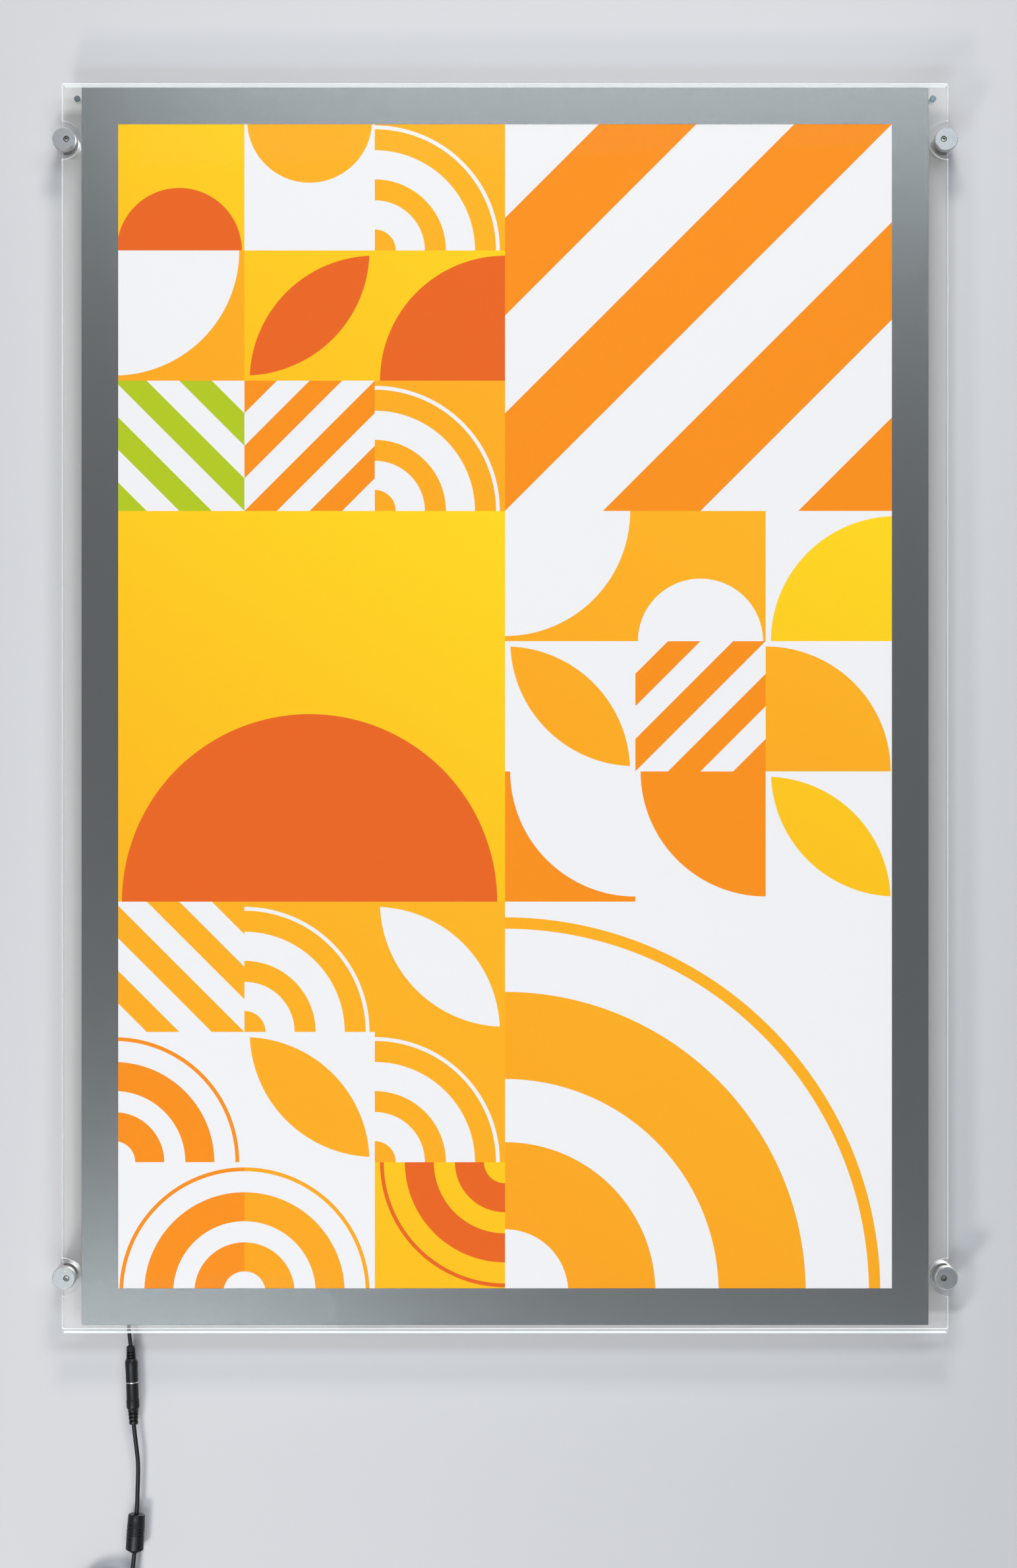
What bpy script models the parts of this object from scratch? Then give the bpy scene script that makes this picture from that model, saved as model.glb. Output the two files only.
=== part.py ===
"""A slim wall-hung poster light box of clear acrylic, on four edge-grip standoffs.

The wall is the plane y = 0 and everything stands on its -Y side. +X is to the
right of someone who looks at the picture, +Z is up, and the origin is on the
wall plane at the centre of the four standoffs. Lengths are metres.

The box is drawn in the wall's own frame: right, up, and out from the wall. The
cord and what is on it are drawn from the cable's way out of the back panel.
"""

import math

import bmesh
import bpy
from mathutils import Vector

# Clearances
FIT = 0.0003  # between pieces that seat in or on each other
FILM_GAP = 0.00015  # between the flat sheets of the stack
OVERRUN = 0.002  # how far a cutter runs past the face that it cuts
WELD = 0.000001  # points closer than this are one
SHARP = math.radians(30)  # edges that turn more than this stay sharp

# The poster, which the rest is drawn round
POSTER_WIDTH = 0.6096
POSTER_HEIGHT = 0.9144
POSTER_THICK = 0.0002

# The frame printed on the cover's rear face
PRINT_THICK = 0.0002
PRINT_LAP = 0.0032  # over the poster's edges
BORDER_WIDTH = 0.0285
PRINT_SIDE_MARGIN = 0.0149  # of clear cover outside the print
PRINT_END_MARGIN = 0.0025

# The removable clear front cover, level with the back panel at the top
COVER_THICK = 0.004
COVER_SHORT = 0.004  # how much less high than the panel, for a finger to get under
NOTCH_RADIUS = 0.015  # round each standoff, centred on the cover's side edge
SHEET_CORNER = 0.0015

# The clear back panel, routed out from the front to hold the lit sheets
PANEL_THICK = 0.010
WALL_GAP = 0.0167  # from the wall to the panel's rear face
POCKET_SIDE_WALL = 0.022
POCKET_END_WALL = 0.012
POCKET_CORNER = 0.006

# The sheets that light the poster from behind
DIFFUSER_THICK = 0.0015
GUIDE_THICK = 0.003
GUIDE_TOP_GAP = 0.008  # left over the guide for the sheet to grow when warm
GUIDE_FOOT_GAP = 0.016
REFLECTOR_THICK = 0.0002

# An LED bar along each long edge of the guide
RAIL_WALL = 0.0008
RAIL_LIP = 0.010  # how far the channel's lips reach over the guide
BOARD_THICK = 0.001
BOARD_END = 0.010  # from the end of the rail to the end of the board
LED_COUNT = 28
LED_HEIGHT = 0.0008
LED_LENGTH = 0.0035
LED_WIDTH = 0.0020
LED_GAP = 0.0005  # from the LEDs to the guide's edge

# Foam blocks that carry the guide on the pocket's lower wall
BLOCK_LENGTH = 0.060
BLOCK_SHIFT_SHARE = 0.328  # of the poster's width, from the middle to each block's middle
WIRE_ARCH = 0.004  # the cut along each block for the link wire

# Edge-grip standoffs
STANDOFF_DIAMETER = 0.0180
STANDOFF_INSET = 0.0018  # from the panel's side edge in to the standoff's axis
STANDOFF_END_INSET = 0.0440  # from the panel's top and bottom to the axis
STANDOFF_PROUD = 0.00345  # how far the head stands out from the cover
STANDOFF_EDGE = 0.0006  # the turned edge of the head
BASE_FLANGE = 0.0027
BASE_SPIGOT_DIAMETER = 0.0098
BASE_SPIGOT_LENGTH = 0.0080
BASE_HOLE_DIAMETER = 0.0046
BASE_SINK_DIAMETER = 0.0084
BASE_EDGE = 0.0004

# The set screw that clamps the panel, off centre towards it, and its nylon pad
SCREW_DIAMETER = 0.0041
SCREW_LENGTH = 0.0060
SCREW_OFFSET = 0.0022
SCREW_CHAMFER = 0.0004
SOCKET_WIDTH = 0.0025  # across the flats
SOCKET_DEPTH = 0.0025
PAD_THICK = 0.0010
PAD_CHAMFER = 0.0002

# Magnets in the two upper corners
MAGNET_DIAMETER = 0.0048
MAGNET_IN = 0.0120  # from the panel's side and top edges to the magnet's axis
MAGNET_RECESS = 0.0002  # below the cover's front face
MAGNET_REACH = 0.0017  # how far the cover's magnet stands out behind the cover
BACK_MAGNET_LENGTH = 0.0045
MAGNET_CHAMFER = 0.0003

# The cable's way out of the back panel
EXIT_SIDE_INSET = 0.0498
EXIT_END_INSET = 0.0200
GROMMET_NECK = 0.0084
GROMMET_FLANGE = 0.0116
GROMMET_LIP = 0.0010
GROMMET_INNER_LIP = 0.0013
PIGTAIL_DIAMETER = 0.0031
CORD_DIAMETER = 0.0034
WIRE_DIAMETER = 0.0014
SPLICE_DIAMETER = 0.0024
SPLICE_LENGTH = 0.0160
SPLICE_RISE = 0.0011  # from the grommet to the splice

# The pigtail's points, from the way out: right, back to the wall, and up
PIGTAIL_ROUTE = [
    (0.0000, -0.0190, 0.0000),
    (0.0000, -0.0158, -0.0001),
    (0.0000, -0.0128, -0.0014),
    (-0.0001, -0.0109, -0.0043),
    (-0.0002, -0.0104, -0.0085),
    (-0.0003, -0.0107, -0.0150),
    (0.0001, -0.0110, -0.0210),
    (0.0007, -0.0110, -0.0270),
]

# The inline jack and plug
JACK_TOP = (0.0014, -0.0110, -0.0336)
CONNECTOR_TILT = math.radians(2.2)
JACK_RELIEF_TOP_RADIUS = 0.0033
JACK_RELIEF_RADIUS = 0.0039
JACK_RELIEF_LENGTH = 0.0095
JACK_RADIUS = 0.0048
JACK_HEAD_RADIUS = 0.0050
JACK_HEAD_LENGTH = 0.0068
JACK_LENGTH = 0.0286
JACK_BORE_RADIUS = 0.00305
JACK_BORE_DEPTH = 0.0100
JACK_EDGE = 0.0005
PIN_RADIUS = 0.00095
PIN_ROOT = 0.0025
RELIEF_RIBS = 4
RIB_DEPTH = 0.0007
RIB_PROFILE_SHARES = [(0.1, 0), (0.6, 0), (0.7, 1), (1.0, 1)]  # of the pitch, and of the depth
CONNECTOR_GAP = 0.0004
BARREL_RADIUS = 0.00275
BARREL_BORE_RADIUS = 0.00125
BARREL_REACH = 0.0095
BARREL_ROOT = 0.0030
PLUG_NOSE_RADIUS = 0.00475
PLUG_RADIUS = 0.0051
PLUG_FLARE = 0.0012  # how long the nose takes to widen to the grip
PLUG_NOSE_LENGTH = 0.0117
PLUG_LENGTH = 0.0198
PLUG_RELIEF_RADIUS = 0.0041
PLUG_RELIEF_END_RADIUS = 0.0034
PLUG_RELIEF_LENGTH = 0.0117

# The supply lead, from the plug down through the ferrite bead to the coil
LEAD_ROUTE = [
    (0.0046, -0.0110, -0.1020),
    (0.0058, -0.0110, -0.1120),
    (0.0070, -0.0110, -0.1230),
    (0.0072, -0.0110, -0.1330),
    (0.0068, -0.0110, -0.1460),
    (0.0065, -0.0110, -0.1570),
    (0.0061, -0.0110, -0.1635),
    (0.0051, -0.0110, -0.1800),
    (0.0041, -0.0110, -0.1965),
    (0.0035, -0.0110, -0.2030),
    (0.0030, -0.0110, -0.2090),
    (0.0029, -0.0110, -0.2220),
    (0.0029, -0.0110, -0.2350),
]
BEAD_TOP = (0.00605, -0.0110, -0.1648)
BEAD_TILT = math.radians(-3.45)
BEAD_LENGTH = 0.0304
BEAD_TOP_RADIUS = 0.0066
BEAD_TOP_EDGE = 0.0009
BEAD_RADIUS = 0.0070
BEAD_CONE = 0.0024  # the tapered foot
BEAD_FOOT_RADIUS = 0.0026
BEAD_FOOT_EDGE = 0.0005
BEAD_BORE_RADIUS = 0.0020
BEAD_GROOVES = 3
BEAD_GROOVE_DOWN = 0.0157  # from the bead's top to the middle groove
BEAD_GROOVE_PITCH = 0.0025
BEAD_GROOVE_DEPTH = 0.0003
DIMPLE_RADIUS = 0.0006
DIMPLE_DEPTH = 0.0008
DIMPLE_DOWN = 0.0160  # from the bead's top to midway between the two dimples
DIMPLE_SPREAD = 0.0114
DIMPLE_TURN = math.radians(38)  # round from the front towards the left

# The rest of the lead, wound and tied as for storage
COIL_LAYERS = 4
COIL_TURNS = 2.75  # in a layer
COIL_RADIUS = 0.0190  # at the middle of the turns
COIL_PITCH = 0.0039
COIL_POINTS = 24  # on each turn
TIE_WIDTH = 0.0060
TIE_THICK = 0.0010
TIE_ROUND = 0.0004
TAIL_LENGTH = 0.0300  # from the coil to the adapter's strain relief

# The wall adapter on the lead's far end
ADAPTER_WIDTH = 0.040
ADAPTER_HEIGHT = 0.062
ADAPTER_REAR_DEPTH = 0.0143
ADAPTER_FRONT_DEPTH = 0.0117
ADAPTER_ROUND = 0.003
ADAPTER_RELIEF_LENGTH = 0.0120
ADAPTER_RELIEF_RADIUS = 0.0040
ADAPTER_RELIEF_END_RADIUS = 0.0029
ADAPTER_RELIEF_ROOT = 0.0030
BLADE_WIDTH = 0.0063
BLADE_THICK = 0.0015
BLADE_REACH = 0.0160
BLADE_ROOT = 0.0040
BLADE_APART = 0.0127
BLADE_EDGE = 0.0004
BLADE_HOLE_RADIUS = 0.0016
BLADE_HOLE_BACK = 0.0042  # from the blade's tip to its hole's centre
BLADE_DOWN = 0.0100  # from the adapter's middle down to the blades

# Widths and heights, from the poster outwards
opening_width = POSTER_WIDTH - 2 * PRINT_LAP
opening_height = POSTER_HEIGHT - 2 * PRINT_LAP
print_width = opening_width + 2 * BORDER_WIDTH
print_height = opening_height + 2 * BORDER_WIDTH
panel_width = print_width + 2 * PRINT_SIDE_MARGIN
cover_height = print_height + 2 * PRINT_END_MARGIN
panel_height = cover_height + COVER_SHORT
cover_up = COVER_SHORT / 2
pocket_width = panel_width - 2 * POCKET_SIDE_WALL
pocket_height = panel_height - 2 * POCKET_END_WALL
standoff_right = panel_width / 2 - STANDOFF_INSET
standoff_up = panel_height / 2 - STANDOFF_END_INSET
exit_right = EXIT_SIDE_INSET - panel_width / 2
exit_up = EXIT_END_INSET - panel_height / 2

# Places in the stack, as distances out from the wall
panel_front = WALL_GAP + PANEL_THICK
poster_rear = panel_front + FILM_GAP
print_rear = poster_rear + POSTER_THICK + FILM_GAP
cover_rear = print_rear + PRINT_THICK + FILM_GAP
cover_front = cover_rear + COVER_THICK
standoff_face = cover_front + STANDOFF_PROUD
diffuser_rear = panel_front - FILM_GAP - DIFFUSER_THICK
rail_front = diffuser_rear - FILM_GAP
guide_front = rail_front - RAIL_WALL - FILM_GAP
guide_rear = guide_front - GUIDE_THICK
reflector_rear = guide_rear - FILM_GAP - REFLECTOR_THICK
rail_rear = reflector_rear - FILM_GAP - RAIL_WALL
pocket_floor = rail_rear - FILM_GAP
grommet_front = pocket_floor + FIT + GROMMET_INNER_LIP
splice_out = grommet_front + SPLICE_RISE + SPLICE_DIAMETER / 2

for leftover in list(bpy.data.objects):
    bpy.data.objects.remove(leftover)

parts = bpy.data.collections.new("light_box")
cutters = bpy.data.collections.new("cutters")
bpy.context.scene.collection.children.link(parts)
bpy.context.scene.collection.children.link(cutters)


def material(name, colour, roughness, metallic=0.0, alpha=1.0):
    made = bpy.data.materials.new(name)
    made.use_nodes = True
    shader = made.node_tree.nodes["Principled BSDF"]
    shader.inputs["Base Color"].default_value = (*colour, 1.0)
    shader.inputs["Roughness"].default_value = roughness
    shader.inputs["Metallic"].default_value = metallic
    shader.inputs["Alpha"].default_value = alpha
    made.diffuse_color = (*colour, alpha)
    return made


ACRYLIC = material("clear_acrylic", (0.86, 0.89, 0.90), 0.05, alpha=0.25)
BORDER_INK = material("border_ink", (0.28, 0.31, 0.32), 0.35)
POSTER_FILM = material("poster_film", (0.95, 0.62, 0.12), 0.5)
WHITE_SHEET = material("white_sheet", (0.93, 0.93, 0.92), 0.6)
FOAM = material("white_foam", (0.85, 0.85, 0.83), 0.9)
ALUMINIUM = material("satin_aluminium", (0.68, 0.69, 0.71), 0.32, metallic=1.0)
STEEL = material("screw_steel", (0.22, 0.22, 0.23), 0.35, metallic=1.0)
NICKEL = material("nickel_plate", (0.62, 0.62, 0.60), 0.25, metallic=1.0)
MAGNET = material("magnet_plate", (0.20, 0.24, 0.27), 0.30, metallic=1.0)
NYLON = material("nylon", (0.80, 0.80, 0.77), 0.5)
BOARD = material("led_board", (0.86, 0.87, 0.86), 0.5)
RUBBER = material("black_rubber", (0.02, 0.02, 0.02), 0.7)
BLACK_PVC = material("black_pvc", (0.025, 0.026, 0.028), 0.42)
BLACK_SHELL = material("black_shell", (0.02, 0.02, 0.022), 0.5)

wall = bpy.data.objects.new("wall_plane", None)  # right, up and out from the wall
wall.rotation_euler = (math.pi / 2, 0, 0)
parts.objects.link(wall)
cable_exit = bpy.data.objects.new("cable_exit", None)
cable_exit.location = (exit_right, 0, exit_up)
parts.objects.link(cable_exit)


def add(name, data, finish, parent=wall, at=(0, 0, 0), turn=(0, 0, 0)):
    """A new object for a mesh or curve, in the parts collection."""
    made = bpy.data.objects.new(name, data)
    made.location = at
    made.rotation_euler = turn
    made.parent = parent
    if finish:
        data.materials.append(finish)
    parts.objects.link(made)
    return made


def arc(centre, radius, start, end, count):
    """Points on an arc, its angles in degrees."""
    steps = [math.radians(start + (end - start) * i / count) for i in range(count + 1)]
    return [(centre[0] + radius * math.cos(a), centre[1] + radius * math.sin(a)) for a in steps]


def circle(centre, radius, count=24):
    return arc(centre, radius, 0, 360, count)[:-1]


def rectangle(width, height, corner=0, centre=(0, 0), count=4):
    """The outline of a rectangle, its corners rounded where a radius is given."""
    signs = [(1, 1), (-1, 1), (-1, -1), (1, -1)]
    points = []
    for turn, (sx, sy) in enumerate(signs):
        middle = (
            centre[0] + sx * (width / 2 - corner),
            centre[1] + sy * (height / 2 - corner),
        )
        points += arc(middle, corner, 90 * turn, 90 * turn + 90, count) if corner else [middle]
    return points


def plate(name, outlines, rear, front, finish):
    """A flat sheet between two distances from the wall, its inner outlines cut out."""
    drawn = bpy.data.curves.new(name, "CURVE")
    drawn.dimensions = "2D"
    drawn.fill_mode = "BOTH"
    drawn.extrude = (front - rear) / 2
    for outline in outlines:
        spline = drawn.splines.new("POLY")
        spline.points.add(len(outline) - 1)
        spline.use_cyclic_u = True
        for point, (x, y) in zip(spline.points, outline):
            point.co = (x, y, 0, 1)
    return add(name, drawn, finish, at=(0, 0, (front + rear) / 2))


def as_mesh(made):
    """The same piece as a welded mesh, smooth but for its edges, so that it can be cut."""
    bpy.context.view_layer.update()
    mesh = bpy.data.meshes.new_from_object(made.evaluated_get(bpy.context.evaluated_depsgraph_get()))
    shape = bmesh.new()
    shape.from_mesh(mesh)
    bmesh.ops.remove_doubles(shape, verts=shape.verts, dist=WELD)
    shape.to_mesh(mesh)
    shape.free()
    mesh.shade_smooth()
    mesh.set_sharp_from_angle(angle=SHARP)
    name, place, parent, drawn = made.name, made.matrix_world.copy(), made.parent, made.data
    bpy.data.objects.remove(made)
    bpy.data.batch_remove([drawn])
    mesh.name = name
    made = bpy.data.objects.new(name, mesh)
    made.parent = parent
    parts.objects.link(made)
    made.matrix_world = place
    return made


def turned(name, profile, sides, finish, parent=wall, at=(0, 0, 0), turn=(0, 0, 0), ring=False):
    """A turned solid about local Z. The profile is (radius, height) pairs."""
    area = sum(a[0] * b[1] - b[0] * a[1] for a, b in zip(profile, profile[1:] + profile[:1]))
    outline = profile[::-1] if area > 0 else list(profile)
    mesh = bpy.data.meshes.new(name)
    edges = [(i, i + 1) for i in range(len(outline) - 1)]
    if ring:
        edges.append((len(outline) - 1, 0))
    mesh.from_pydata([(r, 0, h) for r, h in outline], edges, [])
    made = add(name, mesh, finish, parent, at, turn)
    screw = made.modifiers.new("turn", "SCREW")
    screw.axis = "Z"
    screw.angle = math.tau
    screw.steps = sides
    screw.render_steps = sides
    screw.use_merge_vertices = True
    screw.merge_threshold = WELD
    return as_mesh(made)


def block(name, low, high, finish, parent=wall, rounded=0, segments=3):
    """A box between two corners, its edges rounded where a radius is given."""
    low, high = Vector(low), Vector(high)
    shape = bmesh.new()
    bmesh.ops.create_cube(shape, size=1)
    bmesh.ops.scale(shape, vec=high - low, verts=shape.verts)
    mesh = bpy.data.meshes.new(name)
    shape.to_mesh(mesh)
    shape.free()
    made = add(name, mesh, finish, parent, at=(low + high) / 2)
    if rounded:
        bevel = made.modifiers.new("round", "BEVEL")
        bevel.width = rounded
        bevel.segments = segments
        bevel.limit_method = "ANGLE"
    return made


def cylinder(name, radius, low, high, finish, parent=wall, at=(0, 0), turn=(0, 0, 0), sides=24):
    """A cylinder along local Z between two heights."""
    shape = bmesh.new()
    bmesh.ops.create_cone(
        shape, cap_ends=True, segments=sides, radius1=radius, radius2=radius, depth=high - low
    )
    bmesh.ops.translate(shape, vec=(0, 0, (low + high) / 2), verts=shape.verts)
    mesh = bpy.data.meshes.new(name)
    shape.to_mesh(mesh)
    shape.free()
    return add(name, mesh, finish, parent, (*at, 0), turn)


def cut(made, cutter):
    """Takes the cutter away from the piece, and puts the cutter with the others."""
    step = made.modifiers.new(cutter.name, "BOOLEAN")
    step.operation = "DIFFERENCE"
    step.object = cutter
    cutter.hide_render = True
    cutter.display_type = "WIRE"
    if cutter.name in parts.objects:
        parts.objects.unlink(cutter)
        cutters.objects.link(cutter)


def smooth_line(points, step):
    """Points a step apart on a smooth curve through the route's own points."""
    route = [Vector(p) for p in points]
    ends = [2 * route[0] - route[1], *route, 2 * route[-1] - route[-2]]
    fine = []
    for a, b, c, d in zip(ends, ends[1:], ends[2:], ends[3:]):
        for i in range(12):
            t = i / 12
            fine.append(
                (2 * b + (c - a) * t + (2 * a - 5 * b + 4 * c - d) * t**2
                 + (3 * b - a - 3 * c + d) * t**3) / 2
            )
    fine.append(route[-1])
    length = sum((b - a).length for a, b in zip(fine, fine[1:]))
    count = max(2, round(length / step))
    line, walked, wanted = [fine[0]], 0, 1
    for a, b in zip(fine, fine[1:]):
        span = (b - a).length
        while wanted < count and walked + span >= wanted * length / count:
            line.append(a.lerp(b, (wanted * length / count - walked) / span))
            wanted += 1
        walked += span
    return [*line, fine[-1]]


def tube(name, line, diameter, parent=cable_exit, resolution=2):
    """A cord along a line of points in its parent's frame."""
    drawn = bpy.data.curves.new(name, "CURVE")
    drawn.dimensions = "3D"
    drawn.bevel_depth = diameter / 2
    drawn.bevel_resolution = resolution
    drawn.resolution_u = 1
    drawn.render_resolution_u = 0
    drawn.use_fill_caps = True
    spline = drawn.splines.new("POLY")
    spline.points.add(len(line) - 1)
    for point, place in zip(spline.points, line):
        point.co = (*place, 1)
    return add(name, drawn, BLACK_PVC, parent)


def length_of(line):
    return sum((Vector(b) - Vector(a)).length for a, b in zip(line, line[1:]))


# The back panel: one thick clear sheet with a routed pocket, magnet holes and a cable hole
magnet_right = panel_width / 2 - MAGNET_IN
magnet_up = panel_height / 2 - MAGNET_IN
cover_magnet_rear = cover_rear - MAGNET_REACH
back_magnet_front = cover_magnet_rear - FIT
back_magnet_rear = back_magnet_front - BACK_MAGNET_LENGTH
back_panel = as_mesh(
    plate(
        "back_panel",
        [rectangle(panel_width, panel_height, SHEET_CORNER)],
        WALL_GAP,
        panel_front,
        ACRYLIC,
    )
)
pocket = as_mesh(
    plate(
        "pocket_cut",
        [rectangle(pocket_width, pocket_height, POCKET_CORNER, count=6)],
        pocket_floor,
        panel_front + OVERRUN,
        None,
    )
)
cut(back_panel, pocket)
for side, sign in (("left", -1), ("right", 1)):
    hole = cylinder(
        f"magnet_hole_{side}",
        MAGNET_DIAMETER / 2 + FIT,
        back_magnet_rear - FIT,
        panel_front + OVERRUN,
        None,
        at=(sign * magnet_right, magnet_up),
    )
    cut(back_panel, hole)
cable_hole = cylinder(
    "cable_hole",
    GROMMET_NECK / 2 + FIT,
    WALL_GAP - OVERRUN,
    pocket_floor + OVERRUN,
    None,
    at=(exit_right, exit_up),
)
cut(back_panel, cable_hole)


# The front cover: a thin clear sheet with a half-round notch at each standoff
def notched_side(sign):
    """The cover's side edge, with its corners and its two notches, going round."""
    half_width, half_height = panel_width / 2, cover_height / 2
    points = arc((half_width - SHEET_CORNER, SHEET_CORNER - half_height), SHEET_CORNER, -90, 0, 4)
    for up in (-standoff_up, standoff_up):
        points += arc((half_width, up - cover_up), NOTCH_RADIUS, 270, 90, 20)
    points += arc((half_width - SHEET_CORNER, half_height - SHEET_CORNER), SHEET_CORNER, 0, 90, 4)
    return [(sign * x, sign * y if sign > 0 else y) for x, y in points]


right_side = notched_side(1)
left_side = notched_side(-1)[::-1]
cover_outline = [(x, y + cover_up) for x, y in right_side + left_side]
magnet_holes = [
    circle((sign * magnet_right, magnet_up), MAGNET_DIAMETER / 2 + FIT, 20) for sign in (-1, 1)
]
plate("front_cover", [cover_outline, *magnet_holes], cover_rear, cover_front, ACRYLIC)

# The grey frame printed on the cover's rear face, as a thin layer of its own
plate(
    "border_print",
    [
        rectangle(print_width, print_height, centre=(0, cover_up)),
        rectangle(opening_width, opening_height, centre=(0, cover_up)),
    ],
    print_rear,
    print_rear + PRINT_THICK,
    BORDER_INK,
)

# The poster, and the sheets that light it from behind
plate(
    "poster",
    [rectangle(POSTER_WIDTH, POSTER_HEIGHT, centre=(0, cover_up))],
    poster_rear,
    poster_rear + POSTER_THICK,
    POSTER_FILM,
)
plate(
    "diffuser",
    [rectangle(pocket_width - 2 * FIT, pocket_height - 2 * FIT, POCKET_CORNER)],
    diffuser_rear,
    diffuser_rear + DIFFUSER_THICK,
    WHITE_SHEET,
)
rail_outer = pocket_width / 2 - FIT
board_outer = rail_outer - RAIL_WALL - FILM_GAP
board_face = board_outer - BOARD_THICK
guide_edge = board_face - LED_HEIGHT - LED_GAP
guide_height = pocket_height - GUIDE_TOP_GAP - GUIDE_FOOT_GAP
guide_up = (GUIDE_FOOT_GAP - GUIDE_TOP_GAP) / 2
guide_outline = rectangle(2 * guide_edge, guide_height, centre=(0, guide_up))
plate("light_guide", [guide_outline], guide_rear, guide_front, ACRYLIC)
plate("reflector", [guide_outline], reflector_rear, reflector_rear + REFLECTOR_THICK, WHITE_SHEET)

# The LED bars: a board of LEDs in an aluminium channel that also grips the guide's edge
rail_half = pocket_height / 2 - POCKET_CORNER
board_half = rail_half - BOARD_END


def channel(name, sign):
    """A U channel, open towards the guide, drawn across and extruded upwards."""
    inner = rail_outer - RAIL_LIP
    web = rail_outer - RAIL_WALL
    section = [
        (rail_outer, rail_rear),
        (rail_outer, rail_front),
        (inner, rail_front),
        (inner, rail_front - RAIL_WALL),
        (web, rail_front - RAIL_WALL),
        (web, rail_rear + RAIL_WALL),
        (inner, rail_rear + RAIL_WALL),
        (inner, rail_rear),
    ]
    shape = bmesh.new()
    corners = [shape.verts.new((sign * x, -rail_half, out)) for x, out in section]
    face = shape.faces.new(corners)
    grown = bmesh.ops.extrude_face_region(shape, geom=[face])
    risen = [v for v in grown["geom"] if isinstance(v, bmesh.types.BMVert)]
    bmesh.ops.translate(shape, vec=(0, 2 * rail_half, 0), verts=risen)
    bmesh.ops.recalc_face_normals(shape, faces=shape.faces)
    mesh = bpy.data.meshes.new(name)
    shape.to_mesh(mesh)
    shape.free()
    return add(name, mesh, ALUMINIUM)


def led_board(name, sign):
    """A narrow board with its LEDs raised from the face that looks at the guide."""
    low_out, high_out = rail_rear + RAIL_WALL + FILM_GAP, rail_front - RAIL_WALL - FILM_GAP
    middle_out = (low_out + high_out) / 2
    shape = bmesh.new()
    bmesh.ops.create_cube(shape, size=1)
    bmesh.ops.scale(
        shape, vec=(BOARD_THICK, 2 * board_half, high_out - low_out), verts=shape.verts
    )
    centre = (sign * (board_face + BOARD_THICK / 2), 0, middle_out)
    bmesh.ops.translate(shape, vec=centre, verts=shape.verts)
    pitch = 2 * board_half / LED_COUNT
    rows = [-board_half + pitch * (i + 0.5) for i in range(LED_COUNT)]
    lines = [((0, up + side * LED_LENGTH / 2, 0), (0, 1, 0)) for up in rows for side in (-1, 1)]
    lines += [((0, 0, middle_out + side * LED_WIDTH / 2), (0, 0, 1)) for side in (-1, 1)]
    for place, normal in lines:
        everything = [*shape.verts, *shape.edges, *shape.faces]
        bmesh.ops.bisect_plane(shape, geom=everything, plane_co=place, plane_no=normal)
    raised = []
    for face in shape.faces:
        spot = face.calc_center_median()
        on_face = face.normal.x * sign < -0.5
        in_row = any(abs(spot.y - up) < LED_LENGTH / 2 for up in rows)
        if on_face and in_row and abs(spot.z - middle_out) < LED_WIDTH / 2:
            raised.append(face)
    lifted = bmesh.ops.extrude_discrete_faces(shape, faces=raised)["faces"]
    tops = {v for face in lifted for v in face.verts}
    bmesh.ops.translate(shape, vec=(-sign * LED_HEIGHT, 0, 0), verts=list(tops))
    flat = [e for e in shape.edges if e.is_manifold and e.calc_face_angle() < 0.001]
    bmesh.ops.dissolve_edges(shape, edges=flat, use_verts=True)
    mesh = bpy.data.meshes.new(name)
    shape.to_mesh(mesh)
    shape.free()
    return add(name, mesh, BOARD)


for side, sign in (("left", -1), ("right", 1)):
    channel(f"led_rail_{side}", sign)
    led_board(f"led_board_{side}", sign)

# Foam blocks under the guide, arched over the link wire
block_low = FIT - pocket_height / 2
block_high = GUIDE_FOOT_GAP - pocket_height / 2 - FIT
for side, sign in (("left", -1), ("right", 1)):
    middle = sign * BLOCK_SHIFT_SHARE * POSTER_WIDTH
    foam = block(
        f"guide_block_{side}",
        (middle - BLOCK_LENGTH / 2, block_low, pocket_floor + FIT),
        (middle + BLOCK_LENGTH / 2, block_high, diffuser_rear - FIT),
        FOAM,
    )
    arch = block(
        f"wire_arch_{side}",
        (middle - BLOCK_LENGTH / 2 - OVERRUN, exit_up - WIRE_ARCH / 2, splice_out - WIRE_ARCH / 2),
        (middle + BLOCK_LENGTH / 2 + OVERRUN, exit_up + WIRE_ARCH / 2, panel_front),
        None,
    )
    cut(foam, arch)

# The splice where the pigtail meets the link wires, and the wires to the two boards
splice = cylinder(
    "wire_splice",
    SPLICE_DIAMETER / 2,
    -SPLICE_LENGTH / 2,
    SPLICE_LENGTH / 2,
    RUBBER,
    turn=(0, math.pi / 2, 0),
    sides=16,
)
splice.location = (exit_right, exit_up, splice_out)
board_foot = -board_half - FIT
board_middle = (board_outer + board_face) / 2
for side, sign in (("left", -1), ("right", 1)):
    start = exit_right + sign * (SPLICE_LENGTH / 2 + FIT)
    end = sign * board_middle
    bend = board_foot - exit_up
    corner = [
        (end - sign * bend * math.cos(a), exit_up + bend * (1 - math.sin(a)))
        for a in (math.pi / 2, math.pi / 4, 0)
    ]
    straight = [(start, exit_up), *corner]
    board_out = (rail_rear + rail_front) / 2
    outs = [splice_out, splice_out, (splice_out + board_out) / 2, board_out]
    line = [(x, up, out) for (x, up), out in zip(straight, outs)]
    tube(f"link_wire_{side}", line, WIRE_DIAMETER, parent=wall, resolution=1)

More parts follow.
